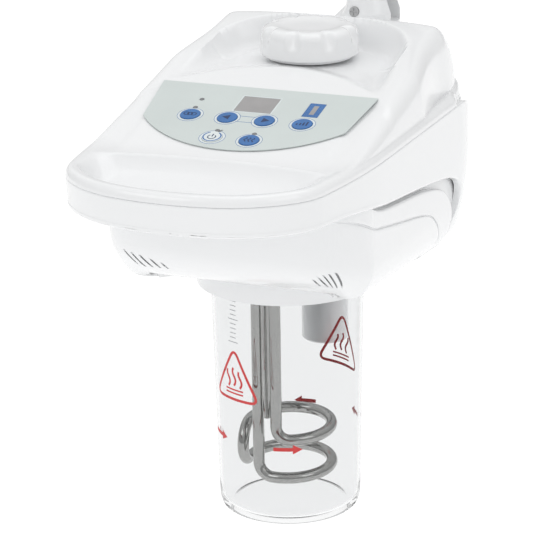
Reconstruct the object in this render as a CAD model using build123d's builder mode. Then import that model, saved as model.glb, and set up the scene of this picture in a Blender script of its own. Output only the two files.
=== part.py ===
"""Head of a pole-mounted facial steamer, with its water jar and folding steam arm.

Millimetres, +Z up.  The origin is the centre of the pole socket's mouth, on the underside.
The user stands at -Y, where the handle lip, the control panel and the glass jar are.
"""
import os
from math import cos, radians, sin

from build123d import *

os.makedirs("parts", exist_ok=True)

# ---- driving dimensions -------------------------------------------------------------
WALL = 2.5                    # moulded shell wall
GAP = 0.3                     # clearance between neighbouring mouldings

# plan outline of the head: tangent arcs from the front centre round to the rear centre
FRONT_Y = -276.0
ARCS = [(163, 12), (80, 38), (42, 30), (540, 10)]      # (radius, degrees turned)
REAR_ARC = (103, 60)          # rear corner
REAR_ARC_START_Y = 14.0

SEAM_Z = 177.0                # seam between top cover and side band
LIP_TOP_Z = 183.0             # top of the flange round the top cover
BAND_FRONT_Z = 156.0          # underside of the handle lip
BELLY_Z = 79.0                # flat underside of the lower shell
BELLY_TOP_Z = 150.0           # lower shell's upper edge, inside the band
BELLY_FRONT_Y = -176.0
SKIRT_Z = 86.0                # lower edge of the rear skirt
SKIRT_Y = 30.3                # the band ends and the rear skirt begins here

# sloping top: it rises from the handle to a crest, then drops to the arm's deck
SLOPE = 13.8                  # degrees
PANEL_Y, PANEL_Z = -98.5, 205.6        # middle of the panel's upper edge
CREST_Y = 9.0
DECK_Y, DECK_Z = 56.0, 212.0
TOP_INSET = 10.0              # flange width beside the raised body

JAR_Y = -73.0                 # jar axis
JAR_BOTTOM_Z, JAR_RIM_Z = -98.0, 84.0
JAR_R_TOP, JAR_R_BOTTOM = 52.5, 49.1
JAR_WALL = 2.4
COLLAR_Z, COLLAR_TOP_Z = 67.0, 100.0
COLLAR_R = 62.0

CAP_Y, CAP_Z = -26.0, 214.8   # filler cap axis and lower edge
CAP_R, CAP_H = 33.8, 19.5
BOWL_Y, BOWL_R, BOWL_Z = -30.0, 61.0, 211.5
NECK_R = 21.0                 # filler neck, outside
NECK_FOOT_Z = 190.0
FEED_Y, FEED_R = -33.1, 4.5    # tube that takes water down to the jar

SOCKET_R, SOCKET_BORE_R, SOCKET_DEPTH = 17.5, 12.7, 70.0
SOCKET_TOP_Z = 128.0

ARM_Y = 84.0                  # swivel axis of the steam arm
BOOT_R = 24.5
PIVOT_Z = 224.0               # tilt axis inside the boot
INLET_Y = 115.1               # face of the rear skirt that the mains inlet stands on
INLET_Z = 130.0

LEAN = 28.0                   # lower arm's lean from vertical at rest, towards +X
ARM_R = 9.0
LOWER_ARM = 230.0
UPPER_LEAN = -62.0            # upper arm's lean from vertical at rest
UPPER_ARM = 210.0

PANEL = Plane(
    origin=(0, PANEL_Y, PANEL_Z),
    x_dir=(1, 0, 0),
    z_dir=(0, -sin(radians(SLOPE)), cos(radians(SLOPE))),
)
PANEL_THICK = 0.6
PANEL_TOP, PANEL_LOW = 76.7, 71.1      # half-widths of the film's upper and lower corners
PANEL_SIDE, PANEL_DEPTH = 48.7, 83.5   # distance down the slope of corners and lowest point
KEY_R = 6.8
KEYS = {                      # centre across the panel, centre down the slope
    "button_ozone": (-39.5, 43.0),
    "button_time_down": (-13.1, 43.0),
    "button_time_up": (13.1, 43.0),
    "button_intensity": (39.5, 43.0),
    "button_power": (-12.9, 69.6),
    "button_vapour": (12.9, 69.6),
}
DISPLAY = (0.0, 22.6, 25.4, 20.0)      # centre x, centre down the slope, width, height
LEVEL = (40.3, 23.4, 11.0, 18.4)
LEDS = [(-40.0, 33.0), (-40.0, 21.6), (13.1, 60.6), (-12.9, 60.4)]
LED_R = 1.6

HEATER_R = 4.0                # heater tube radius
COIL_R = 29.5
COIL_BEND = 10.0              # bend from each leg into its ring
COIL_LOW_Z, COIL_HIGH_Z = -66.0, -38.0
COIL_START = {COIL_LOW_Z: -92.0, COIL_HIGH_Z: -66.0}
COIL_END = 185.0
HEATER_TOP_Z = 92.0


def save(builder, name):
    """Label a finished piece and write its STEP file."""
    builder.part.label = name
    export_step(builder.part, f"parts/{name}.step")


def plan(inset=0.0):
    """Sketch of the head's plan outline, moved inwards by inset."""
    with BuildSketch() as sketch:
        with BuildLine():
            here, heading = Vector(0, FRONT_Y), Vector(1, 0)
            for radius, turn in ARCS:
                arc = JernArc(here, heading, radius, turn)
                here, heading = arc @ 1, arc % 1
            side_x = here.X
            Polyline(here, (side_x, REAR_ARC_START_Y))
            radius, turn = REAR_ARC
            corner = JernArc((side_x, REAR_ARC_START_Y), (0, 1), radius, turn)
            end_turn = 90 - turn
            end_radius = (corner @ 1).X / sin(radians(end_turn))
            JernArc(corner @ 1, corner % 1, end_radius, end_turn)
            mirror(about=Plane.YZ)
        make_face()
        if inset:
            offset(amount=-inset, mode=Mode.REPLACE)
    return sketch.sketch


def slope_z(y):
    """Height of the sloping top at y."""
    return PANEL_Z + (y - PANEL_Y) * sin(radians(SLOPE)) / cos(radians(SLOPE))


def side_profile(points, drop=0.0):
    """Face in the YZ plane through (y, z) points, lowered by drop."""
    with BuildSketch(Plane.YZ) as sketch:
        with BuildLine():
            Polyline(*[(y, z - drop) for y, z in points], close=True)
        make_face()
    return sketch.sketch


def disc_stack(name, x, y, levels, bore=0.0):
    """Turned piece on a vertical axis: levels are (radius, z) pairs from the bottom up."""
    with BuildPart() as piece:
        with BuildSketch(Plane.XZ.offset(-y)):
            with BuildLine():
                outer = [(x + r, z) for r, z in levels]
                inner = [(x + bore, levels[-1][1]), (x + bore, levels[0][1])]
                Polyline(*outer, *inner, close=True)
            make_face()
        revolve(axis=Axis((x, y, 0), (0, 0, 1)))
    save(piece, name)


FAR = 400.0
ABOVE_TOP = [
    (-300, LIP_TOP_Z), (PANEL_Y - (PANEL_Z - LIP_TOP_Z) / 0.24563, LIP_TOP_Z),
    (CREST_Y, slope_z(CREST_Y)), (CREST_Y + 12, slope_z(CREST_Y) - 1), (DECK_Y, DECK_Z),
    (130, DECK_Z), (130, 400), (-300, 400),
]
TROUGH_FRONT_Y, TROUGH_BACK_Y, TROUGH_Z = -262.0, -200.0, 167.5
TROUGH_INSET = 14.0


def body_plan(inset):
    """Plan of the raised body: the inset outline with a round deck for the arm."""
    with BuildSketch() as sketch:
        add(plan(TOP_INSET + inset))
        with Locations((0, ARM_Y)):
            Circle(BOOT_R + 3 - inset)
    return sketch.sketch


def trough_plan(grow=0.0):
    """Plan of the finger trough behind the handle lip."""
    with BuildSketch() as sketch:
        add(plan(TROUGH_INSET - grow))
        span = TROUGH_BACK_Y - TROUGH_FRONT_Y + 2 * grow
        with Locations((0, (TROUGH_FRONT_Y + TROUGH_BACK_Y) / 2)):
            RectangleRounded(150 + 2 * grow, span, 18 + grow, mode=Mode.INTERSECT)
    return sketch.sketch


# ---- housings -----------------------------------------------------------------------
def panel_cuts(clear):
    """Holes through the sloping top for keys, lenses and windows."""
    with BuildSketch(PANEL) as sketch:
        for x, down in KEYS.values():
            with Locations((x, -down)):
                Circle(KEY_R + clear)
        for x, down in LEDS:
            with Locations((x, -down)):
                Circle(LED_R + clear)
        for x, down, width, height in (DISPLAY, LEVEL):
            with Locations((x, -down)):
                Rectangle(width + 2 * clear, height + 2 * clear)
    return sketch.sketch


with BuildPart() as top_cover:
    add(extrude(plan(), amount=LIP_TOP_Z - SEAM_Z, mode=Mode.PRIVATE).moved(Pos(0, 0, SEAM_Z)))
    chamfer(top_cover.faces().sort_by(Axis.Z)[-1].edges(), length=2.0)
    raised = extrude(body_plan(0), amount=70, mode=Mode.PRIVATE).moved(Pos(0, 0, SEAM_Z + 3))
    add(raised)
    extrude(side_profile(ABOVE_TOP), amount=FAR, both=True, mode=Mode.SUBTRACT)
    # hollow underneath
    flange_hollow = extrude(plan(WALL), amount=LIP_TOP_Z - SEAM_Z - WALL, mode=Mode.PRIVATE)
    add(flange_hollow.moved(Pos(0, 0, SEAM_Z)), mode=Mode.SUBTRACT)
    core = extrude(body_plan(WALL), amount=73, mode=Mode.PRIVATE).moved(Pos(0, 0, SEAM_Z))
    roof = extrude(side_profile(ABOVE_TOP, drop=WALL), amount=FAR, both=True, mode=Mode.PRIVATE)
    add(core - roof, mode=Mode.SUBTRACT)
    # rear skirt
    with BuildSketch(Plane.XY.offset(SKIRT_Z)):
        add(plan())
        add(plan(WALL), mode=Mode.SUBTRACT)
        with Locations((0, SKIRT_Y - FAR / 2)):
            Rectangle(FAR, FAR, mode=Mode.SUBTRACT)
    extrude(amount=SEAM_Z - SKIRT_Z)
    # finger trough with its own floor
    with BuildSketch(Plane.XY.offset(TROUGH_Z - WALL)):
        add(trough_plan(WALL))
    extrude(amount=LIP_TOP_Z - TROUGH_Z)
    with BuildSketch(Plane.XY.offset(TROUGH_Z)):
        add(trough_plan())
    extrude(amount=40, mode=Mode.SUBTRACT)
    # bowl round the filler cap, with a hole for the neck
    with BuildSketch(Plane.XY.offset(BOWL_Z - WALL)):
        with Locations((0, BOWL_Y)):
            Circle(BOWL_R + WALL)
    extrude(amount=WALL + 6)
    extrude(side_profile(ABOVE_TOP), amount=FAR, both=True, mode=Mode.SUBTRACT)
    with BuildSketch(Plane.XY.offset(BOWL_Z)):
        with Locations((0, BOWL_Y)):
            Circle(BOWL_R)
    extrude(amount=60, mode=Mode.SUBTRACT)
    with BuildSketch(Plane.XY.offset(BOWL_Z - 10)):
        with Locations((0, CAP_Y)):
            Circle(NECK_R)
    extrude(amount=30, mode=Mode.SUBTRACT)
    # openings for the panel and for the arm's socket
    extrude(panel_cuts(0.8), amount=8, both=True, mode=Mode.SUBTRACT)
    with BuildSketch(Plane.XY.offset(DECK_Z - 10)):
        with Locations((0, ARM_Y)):
            Circle(17.0)
    extrude(amount=20, mode=Mode.SUBTRACT)
    # opening for the mains inlet in the rear skirt
    with BuildSketch(Plane.XZ.offset(-80)):
        with Locations((0, INLET_Z)):
            Rectangle(28, 48)
    extrude(amount=-50, mode=Mode.SUBTRACT)
save(top_cover, "top_cover")

BAND_EDGE = [                 # lower edge of the band, seen from the side
    (-300, 100), (-300, BAND_FRONT_Z), (-190, BAND_FRONT_Z), (-128, 145), (-27, 132),
    (11, 122), (22, 108), (22, 100),
]
with BuildPart() as side_band:
    with BuildSketch(Plane.XY.offset(105)):
        add(plan(0.6))
        with Locations((0, SKIRT_Y - GAP + FAR / 2)):
            Rectangle(FAR, FAR, mode=Mode.SUBTRACT)
    extrude(amount=SEAM_Z - GAP - 105)
    with BuildSketch(Plane.XY.offset(BAND_FRONT_Z + WALL)):
        add(plan(0.6 + WALL))
    extrude(amount=40, mode=Mode.SUBTRACT)
    with BuildSketch(Plane.XY.offset(100)):
        add(plan(0.6 + WALL))
        with Locations((0, BELLY_FRONT_Y - 2 - FAR / 2)):
            Rectangle(FAR, FAR, mode=Mode.SUBTRACT)
    extrude(amount=80, mode=Mode.SUBTRACT)
    extrude(side_profile(BAND_EDGE), amount=FAR, both=True, mode=Mode.SUBTRACT)
save(side_band, "side_band")

VENT_XS = [53.8, 59.4, 65.0, 70.5, 76.1]
BELLY_KNEE_Z = 92.0           # below this the lower shell tapers inwards


def belly_plan(inset):
    """Plan of the lower shell, moved inwards by inset."""
    with BuildSketch() as sketch:
        add(plan(3.4 + inset))
        with Locations((0, BELLY_FRONT_Y + inset + FAR / 2)):
            RectangleRounded(183.6 - 2 * inset, FAR, 25 - inset, mode=Mode.INTERSECT)
    return sketch.sketch


with BuildPart() as lower_shell:
    with BuildSketch(Plane.XY.offset(BELLY_KNEE_Z)):
        add(belly_plan(0))
    extrude(amount=BELLY_TOP_Z - BELLY_KNEE_Z)
    with BuildSketch(Plane.XY.offset(BELLY_KNEE_Z)):
        add(belly_plan(0))
    extrude(amount=BELLY_Z - BELLY_KNEE_Z, taper=35)
    with BuildSketch(Plane.XY.offset(BELLY_KNEE_Z)):
        add(belly_plan(WALL))
    extrude(amount=90, mode=Mode.SUBTRACT)
    with BuildSketch(Plane.XY.offset(BELLY_KNEE_Z)):
        add(belly_plan(WALL))
    extrude(amount=BELLY_Z + WALL - BELLY_KNEE_Z, taper=35, mode=Mode.SUBTRACT)
    with BuildSketch(Plane.XY.offset(BELLY_Z - 5)):
        with Locations((0, JAR_Y)):
            Circle(COLLAR_R + 0.1)
        Circle(SOCKET_R + 0.1)
    extrude(amount=30, mode=Mode.SUBTRACT)
    # room for the mains inlet at the rear
    with BuildSketch(Plane.XY.offset(INLET_Z - 30)):
        with Locations((0, 110)):
            Rectangle(40, 50)
    extrude(amount=90, mode=Mode.SUBTRACT)
    # ventilation slots wrap from the front wall to the underside
    for side in (-1, 1):
        for x in VENT_XS:
            height = 12 + 16 * (x - VENT_XS[0]) / (VENT_XS[-1] - VENT_XS[0])
            with BuildSketch(Plane.XY.offset(BELLY_Z + 4)):
                with Locations((side * x, BELLY_FRONT_Y + 6)):
                    Rectangle(1.5, 26)
            extrude(amount=height, mode=Mode.SUBTRACT)
save(lower_shell, "lower_shell")

# ---- control panel ------------------------------------------------------------------
with BuildPart() as control_panel:
    with BuildSketch(PANEL):
        with BuildLine():
            Line((-PANEL_TOP, 0), (PANEL_TOP, 0))
            Line((PANEL_TOP, 0), (PANEL_LOW, -PANEL_SIDE))
            ThreePointArc((PANEL_LOW, -PANEL_SIDE), (0, -PANEL_DEPTH), (-PANEL_LOW, -PANEL_SIDE))
            Line((-PANEL_LOW, -PANEL_SIDE), (-PANEL_TOP, 0))
        make_face()
    extrude(amount=PANEL_THICK)
    extrude(panel_cuts(0.15), amount=8, both=True, mode=Mode.SUBTRACT)
save(control_panel, "control_panel")

KEY_TRAVEL = 0.5
for key_name, (key_x, key_down) in KEYS.items():
    with BuildPart() as key:
        with BuildSketch(PANEL.offset(-3.6)):
            with Locations((key_x, -key_down)):
                Circle(KEY_R)
        extrude(amount=3.6 + PANEL_THICK + 0.7)
        with BuildSketch(PANEL.offset(-4.6)):
            with Locations((key_x, -key_down)):
                Circle(2.0)
        extrude(amount=1.2)
        fillet(key.edges().filter_by(GeomType.CIRCLE).sort_by(lambda e: e.center().Z)[-1], 0.4)
    save(key, key_name)


def window(name, place, top, thick):
    """Rectangular piece set in the panel, its upper face top above the cover."""
    x, down, width, height = place
    with BuildPart() as piece:
        with BuildSketch(PANEL.offset(top - thick)):
            with Locations((x, -down)):
                RectangleRounded(width, height, 0.8)
        extrude(amount=thick)
    save(piece, name)


window("display_window", DISPLAY, PANEL_THICK, 1.6)
window("level_window", LEVEL, PANEL_THICK, 1.6)
window("time_display", DISPLAY, -1.2, 4.0)
window("level_display", LEVEL, -1.2, 4.0)

with BuildPart() as indicator_lenses:
    with BuildSketch(PANEL.offset(-5.0)):
        for led_x, led_down in LEDS:
            with Locations((led_x, -led_down)):
                Circle(LED_R)
    extrude(amount=5.0 + PANEL_THICK + 0.2)
save(indicator_lenses, "indicator_lenses")

BOARD_DROP = 9.0
with BuildPart() as panel_board:
    with BuildSketch(PANEL.offset(-BOARD_DROP)):
        with Locations((0, -42)):
            Rectangle(118, 70)
    extrude(amount=1.6)
save(panel_board, "panel_board")

with BuildPart() as key_switches:
    with BuildSketch(PANEL.offset(-BOARD_DROP + 1.6)):
        for key_x, key_down in KEYS.values():
            with Locations((key_x, -key_down)):
                Rectangle(6, 6)
    extrude(amount=2.0)
save(key_switches, "key_switches")

with BuildPart() as buzzer:
    with BuildSketch(PANEL.offset(-BOARD_DROP)):
        with Locations((50, -62)):
            Circle(6)
    extrude(amount=-8)
save(buzzer, "buzzer")

# ---- water filler -------------------------------------------------------------------
disc_stack("filler_neck", 0, CAP_Y, [(NECK_R - 0.1, NECK_FOOT_Z), (NECK_R - 0.1, CAP_Z - 1.5)], 17.0)
disc_stack("cap_gasket", 0, CAP_Y, [(NECK_R - 0.5, CAP_Z - 1.4), (NECK_R - 0.5, CAP_Z)], 14.5)

CAP_LOBES = 8
with BuildPart() as filler_cap:
    with BuildSketch(Plane.XY.offset(CAP_Z + 0.1)):
        with Locations((0, CAP_Y)):
            Circle(CAP_R)
    extrude(amount=CAP_H)
    rim = filler_cap.faces().sort_by(Axis.Z)[-1].edges()
    fillet(rim, radius=5.0)
    for lobe in range(CAP_LOBES):
        angle = radians(360 / CAP_LOBES * (lobe + 0.5))
        with BuildSketch(Plane.XY.offset(CAP_Z + 9)):
            with Locations((39 * cos(angle), CAP_Y + 39 * sin(angle))):
                Circle(8.5)
        extrude(amount=20, mode=Mode.SUBTRACT)
    with BuildSketch(Plane.XY.offset(CAP_Z + 0.1 - 9)):
        with Locations((0, CAP_Y)):
            Circle(14.0)
    extrude(amount=10)
save(filler_cap, "filler_cap")

# ---- jar, collar and heater ---------------------------------------------------------
LUG_COUNT, LUG_TURN = 3, 25.0
LUG_Z, LUG_H = 74.0, 4.0
with BuildPart() as jar_collar:
    with BuildSketch(Plane.XY.offset(COLLAR_Z)):
        with Locations((0, JAR_Y)):
            Circle(COLLAR_R)
            Circle(JAR_R_TOP + 0.9, mode=Mode.SUBTRACT)
        Circle(SOCKET_R + 0.2, mode=Mode.SUBTRACT)
    extrude(amount=COLLAR_TOP_Z - COLLAR_Z)
    # channels that the jar's lugs turn and drop in
    for lug in range(LUG_COUNT):
        middle = 360 / LUG_COUNT * lug + LUG_TURN / 2
        with BuildSketch(Plane.XY.offset(COLLAR_Z - 1)):
            with Locations((0, JAR_Y)):
                with BuildLine():
                    half = LUG_TURN / 2 + 9
                    a = radians(middle - half)
                    b = radians(middle + half)
                    reach = JAR_R_TOP + 4.6
                    CenterArc((0, JAR_Y), reach, middle - half, 2 * half)
                    Line((reach * cos(b), JAR_Y + reach * sin(b)), (0, JAR_Y))
                    Line((0, JAR_Y), (reach * cos(a), JAR_Y + reach * sin(a)))
                make_face()
        extrude(amount=LUG_Z + LUG_H + 1 - COLLAR_Z, mode=Mode.SUBTRACT)
save(jar_collar, "jar_collar")

with BuildPart() as glass_jar:
    with BuildSketch(Plane.XZ.offset(-JAR_Y)):
        with BuildLine():
            bottom, rim_z = JAR_BOTTOM_Z, JAR_RIM_Z
            Polyline(
                (0, bottom + 3), (37.8, bottom + 3), (39.0, bottom), (JAR_R_BOTTOM - 5, bottom),
                (JAR_R_BOTTOM - 1.5, bottom + 1.5), (JAR_R_BOTTOM, bottom + 6),
                (JAR_R_TOP, rim_z - 20), (JAR_R_TOP, rim_z),
                (JAR_R_TOP - JAR_WALL, rim_z), (JAR_R_TOP - JAR_WALL, rim_z - 20),
                (JAR_R_BOTTOM - JAR_WALL, bottom + 8), (JAR_R_BOTTOM - 5, bottom + 5.5),
                (0, bottom + 5.5), close=True,
            )
        make_face()
    revolve(axis=Axis((0, JAR_Y, 0), (0, 0, 1)))
    for lug in range(LUG_COUNT):
        angle = radians(360 / LUG_COUNT * lug)
        with BuildSketch(Plane.XY.offset(LUG_Z)):
            with Locations((54 * cos(angle), JAR_Y + 54 * sin(angle))):
                Rectangle(4.4, 11, rotation=360 / LUG_COUNT * lug)
        extrude(amount=LUG_H)
save(glass_jar, "glass_jar")

disc_stack("jar_seal", 0, JAR_Y, [(52.4, JAR_RIM_Z + 0.1), (52.4, JAR_RIM_Z + 2.6)], 48.5)
heater_levels = [(46.0, 62.0), (46.0, JAR_RIM_Z + 2.9), (53.2, JAR_RIM_Z + 2.9), (53.2, 94.0)]
with BuildPart() as heater_base:
    with BuildSketch(Plane.XZ.offset(-JAR_Y)):
        with BuildLine():
            Polyline(*heater_levels, (0, 94.0), (0, 62.0), close=True)
        make_face()
    revolve(axis=Axis((0, JAR_Y, 0), (0, 0, 1)))
    with BuildSketch(Plane.XY.offset(55)):
        with Locations((-11.0, JAR_Y - 29.1), (2.9, JAR_Y - 31.0)):
            Circle(HEATER_R + 0.1)
        with Locations((-12.6, JAR_Y - 10)):
            Circle(3.1)
        with Locations((16, JAR_Y + 20)):
            Circle(9.1)
        with Locations((0, FEED_Y)):
            Circle(FEED_R + 0.1)
    extrude(amount=60, mode=Mode.SUBTRACT)
save(heater_base, "heater_base")


def coil_point(angle, z, radius=COIL_R):
    """Point on a heater ring."""
    return Vector(radius * cos(radians(angle)), JAR_Y + radius * sin(radians(angle)), z)


def coil_heading(angle):
    """Direction of travel round a heater ring."""
    return Vector(-sin(radians(angle)), cos(radians(angle)), 0)


def leg_bend(z):
    """Ends and middle of the quarter bend from a vertical leg into its ring."""
    start = COIL_START[z]
    foot = coil_point(start, z)
    heading = coil_heading(start)
    centre = foot + Vector(0, 0, COIL_BEND)
    top = centre - heading * COIL_BEND
    middle = centre - (heading + Vector(0, 0, 1)) * (COIL_BEND * sin(radians(45)))
    return top, middle, foot


with BuildPart() as heater_tube:
    with BuildLine() as heater_path:
        for z in (COIL_LOW_Z, COIL_HIGH_Z):
            top, middle, foot = leg_bend(z)
            Line(Vector(top.X, top.Y, HEATER_TOP_Z + 14), top)
            ThreePointArc(top, middle, foot)
            halfway = (COIL_START[z] + COIL_END) / 2
            ThreePointArc(foot, coil_point(halfway, z), coil_point(COIL_END, z))
        rise = (COIL_HIGH_Z - COIL_LOW_Z) / 2
        turn_middle = coil_point(COIL_END, COIL_LOW_Z + rise) + coil_heading(COIL_END) * rise
        ThreePointArc(coil_point(COIL_END, COIL_LOW_Z), turn_middle,
                      coil_point(COIL_END, COIL_HIGH_Z))
    low_top = leg_bend(COIL_LOW_Z)[0]
    with BuildSketch(Plane((low_top.X, low_top.Y, HEATER_TOP_Z + 14), z_dir=(0, 0, -1))):
        Circle(HEATER_R)
    sweep(path=heater_path.wires()[0])
save(heater_tube, "heater_tube")

with BuildPart() as level_probe:
    with BuildSketch(Plane.XY.offset(-34)):
        with Locations((-12.6, JAR_Y - 10)):
            Circle(3.0)
    extrude(amount=140)
save(level_probe, "level_probe")

with BuildPart() as heater_terminals:
    for z in (COIL_LOW_Z, COIL_HIGH_Z):
        top = leg_bend(z)[0]
        with BuildSketch(Plane.XY.offset(HEATER_TOP_Z + 14)):
            with Locations((top.X, top.Y)):
                Rectangle(0.8, 6.3)
        extrude(amount=10)
save(heater_terminals, "heater_terminals")

# ---- steam path ---------------------------------------------------------------------
FEED_FOOT_Z = 60.0
with BuildPart() as water_tube:
    with BuildSketch(Plane.XY.offset(FEED_FOOT_Z)):
        with Locations((0, FEED_Y)):
            Circle(FEED_R)
            Circle(FEED_R - 1.5, mode=Mode.SUBTRACT)
    extrude(amount=NECK_FOOT_Z - 0.1 - FEED_FOOT_Z)
save(water_tube, "water_tube")

DUCT_X, DUCT_Y, DUCT_R, DUCT_Z = 16.0, JAR_Y + 20, 9.0, 168.0
with BuildPart() as steam_duct:
    with BuildLine() as duct_path:
        FilletPolyline((DUCT_X, DUCT_Y, 62), (DUCT_X, DUCT_Y, DUCT_Z), (DUCT_X, 50, DUCT_Z),
                       (0, ARM_Y, DUCT_Z + 12), (0, ARM_Y, DECK_Z - 14.2), radius=13)
    with BuildSketch(Plane((DUCT_X, DUCT_Y, 62))):
        Circle(DUCT_R)
    sweep(path=duct_path.wires()[0])
    with BuildSketch(Plane((DUCT_X, DUCT_Y, 62))):
        Circle(DUCT_R - 1.5)
    sweep(path=duct_path.wires()[0], mode=Mode.SUBTRACT)
save(steam_duct, "steam_duct")

LAMP_Z, LAMP_R = DUCT_Z + DUCT_R + 8, 6.0
LAMP_START_Y, LAMP_END_Y, HOLDER_LENGTH = -3.0, 44.0, 8.0
with BuildPart() as ozone_lamp:
    with BuildSketch(Plane.XZ.offset(-LAMP_START_Y)):
        with Locations((DUCT_X, LAMP_Z)):
            Circle(LAMP_R)
    extrude(amount=LAMP_START_Y - LAMP_END_Y)
    fillet(ozone_lamp.edges(), 2.5)
save(ozone_lamp, "ozone_lamp")
with BuildPart() as lamp_holder:
    with BuildSketch(Plane.XZ.offset(-LAMP_END_Y - 0.1)):
        with Locations((DUCT_X, LAMP_Z + 1)):
            Rectangle(2 * LAMP_R + 2, 2 * LAMP_R)
    extrude(amount=-HOLDER_LENGTH)
save(lamp_holder, "lamp_holder")

# ---- electrics ----------------------------------------------------------------------
BOARD_X, BOARD_Y, BOARD_Z = -54.0, 25.0, 118.0
with BuildPart() as power_board:
    with BuildSketch(Plane.XY.offset(BOARD_Z)):
        with Locations((BOARD_X, BOARD_Y)):
            Rectangle(44, 70)
    extrude(amount=1.6)
save(power_board, "power_board")
with BuildPart() as transformer:
    with BuildSketch(Plane.XY.offset(BOARD_Z + 1.6)):
        with Locations((BOARD_X, BOARD_Y + 15)):
            Rectangle(38, 34)
    extrude(amount=30)
    chamfer(transformer.edges().filter_by(Axis.Z), 3)
save(transformer, "transformer")
with BuildPart() as relay:
    with BuildSketch(Plane.XY.offset(BOARD_Z + 1.6)):
        with Locations((BOARD_X, BOARD_Y - 20)):
            Rectangle(19, 15.5)
    extrude(amount=15)
save(relay, "relay")
with BuildPart() as board_posts:
    with BuildSketch(Plane.XY.offset(BELLY_Z + WALL)):
        with Locations((BOARD_X, BOARD_Y)):
            with GridLocations(34, 53, 2, 2):
                Circle(3)
    extrude(amount=BOARD_Z - BELLY_Z - WALL)
save(board_posts, "board_posts")

with BuildPart() as mains_inlet:
    with BuildSketch(Plane.XZ.offset(-INLET_Y)):
        with Locations((0, INLET_Z)):
            RectangleRounded(27.4, 47.4, 2.5)
    extrude(amount=26)
    with BuildSketch(Plane.XZ.offset(-INLET_Y)):
        with Locations((0, INLET_Z)):
            RectangleRounded(31, 52, 3)
    extrude(amount=-1.8)
    with BuildSketch(Plane.XZ.offset(-INLET_Y - 10)):
        with Locations((0, INLET_Z - 9)):
            Rectangle(24, 17)
    extrude(amount=26, mode=Mode.SUBTRACT)
save(mains_inlet, "mains_inlet")

# ---- pole socket --------------------------------------------------------------------
with BuildPart() as pole_socket:
    with BuildSketch():
        Circle(SOCKET_R)
    extrude(amount=SOCKET_TOP_Z)
    chamfer(pole_socket.faces().sort_by(Axis.Z)[0].edges(), 1.2)
    with BuildSketch():
        Circle(SOCKET_BORE_R)
    extrude(amount=SOCKET_DEPTH, mode=Mode.SUBTRACT)
    with BuildSketch(Plane.XZ.offset(-30)):
        with Locations((0, 30)):
            Circle(3.0)
    extrude(amount=20, mode=Mode.SUBTRACT)
save(pole_socket, "pole_socket")
with BuildPart() as pole_screw:
    with BuildSketch(Plane.XZ.offset(-14)):
        with Locations((0, 30)):
            Circle(2.95)
    extrude(amount=-12)
    with BuildSketch(Plane.XZ.offset(-26)):
        with Locations((0, 30)):
            Circle(5)
    extrude(amount=-4)
    with BuildSketch(Plane.XZ.offset(-30)):
        with Locations((0, 30)):
            RegularPolygon(2.4, 6)
    extrude(amount=2.5, mode=Mode.SUBTRACT)
save(pole_screw, "pole_screw")

SCREW_X, SCREW_YS, SCREW_R = 66.0, (-122.0, -5.0, 60.0), 3.4
with BuildPart() as case_screws:
    with BuildSketch(Plane.XY.offset(BELLY_Z - 0.1)):
        with Locations(*[(sx * SCREW_X, y) for sx in (-1, 1) for y in SCREW_YS]):
            Circle(SCREW_R)
    extrude(amount=-1.6)
save(case_screws, "case_screws")

# ---- steam arm ----------------------------------------------------------------------
disc_stack("arm_socket", 0, ARM_Y, [(16.9, DECK_Z - WALL), (16.9, DECK_Z + 0.1)], 13.05)

BOOT_Z = DECK_Z + 0.4
BOOT_FLOOR_Z = BOOT_Z + 1.6
PIN_R = 2.5
EYE_R = 9.0
FORK_R = 12.5                 # outside of the arm's end fittings
FORK_REACH = 18.0             # from a hinge's centre to the round part of its fitting
TONGUE = 6.0                  # half the tongue's thickness
FITTING = 28.0


def lean_axis(lean):
    """Unit vector leaning from vertical towards +X."""
    return Vector(sin(radians(lean)), 0, cos(radians(lean)))


def across(centre, lean, distance):
    """Plane square to an arm, at a distance along it from one of its hinges."""
    axis = lean_axis(lean)
    return Plane(origin=centre + axis * distance, x_dir=(0, 1, 0), z_dir=axis)


LOWER_PIVOT = Vector(0, ARM_Y, PIVOT_Z)
ELBOW = LOWER_PIVOT + lean_axis(LEAN) * LOWER_ARM
WRIST = ELBOW + lean_axis(UPPER_LEAN) * UPPER_ARM
NOZZLE_LEAN = -112.0
ARM_MIDPLANE = Plane.XZ.offset(-ARM_Y)

with BuildPart() as arm_boot:
    with BuildSketch(ARM_MIDPLANE):
        with BuildLine():
            Polyline((8.0, BOOT_Z - 14), (13.0, BOOT_Z - 14), (13.0, BOOT_Z), (BOOT_R, BOOT_Z),
                     (BOOT_R, BOOT_Z + 9), (21.0, BOOT_Z + 20), (14.5, BOOT_Z + 33),
                     (9.0, BOOT_Z + 36), (8.0, BOOT_Z + 36), close=True)
        make_face()
    revolve(axis=Axis((0, ARM_Y, 0), (0, 0, 1)))
    # slot that the arm tilts in
    with BuildSketch(ARM_MIDPLANE):
        with Locations((35 - EYE_R - 1.5, BOOT_FLOOR_Z + 40)):
            Rectangle(70, 80)
    extrude(amount=EYE_R + 0.5, both=True, mode=Mode.SUBTRACT)
    with BuildSketch(ARM_MIDPLANE):
        with Locations((0, PIVOT_Z)):
            Circle(PIN_R + 0.02)
    extrude(amount=60, both=True, mode=Mode.SUBTRACT)
    for side in (-1, 1):
        with BuildSketch(Plane.XZ.offset(-ARM_Y + side * 22.4)):
            with Locations((0, PIVOT_Z)):
                Circle(3.8)
        extrude(amount=side * 10, mode=Mode.SUBTRACT)
save(arm_boot, "arm_boot")

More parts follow.
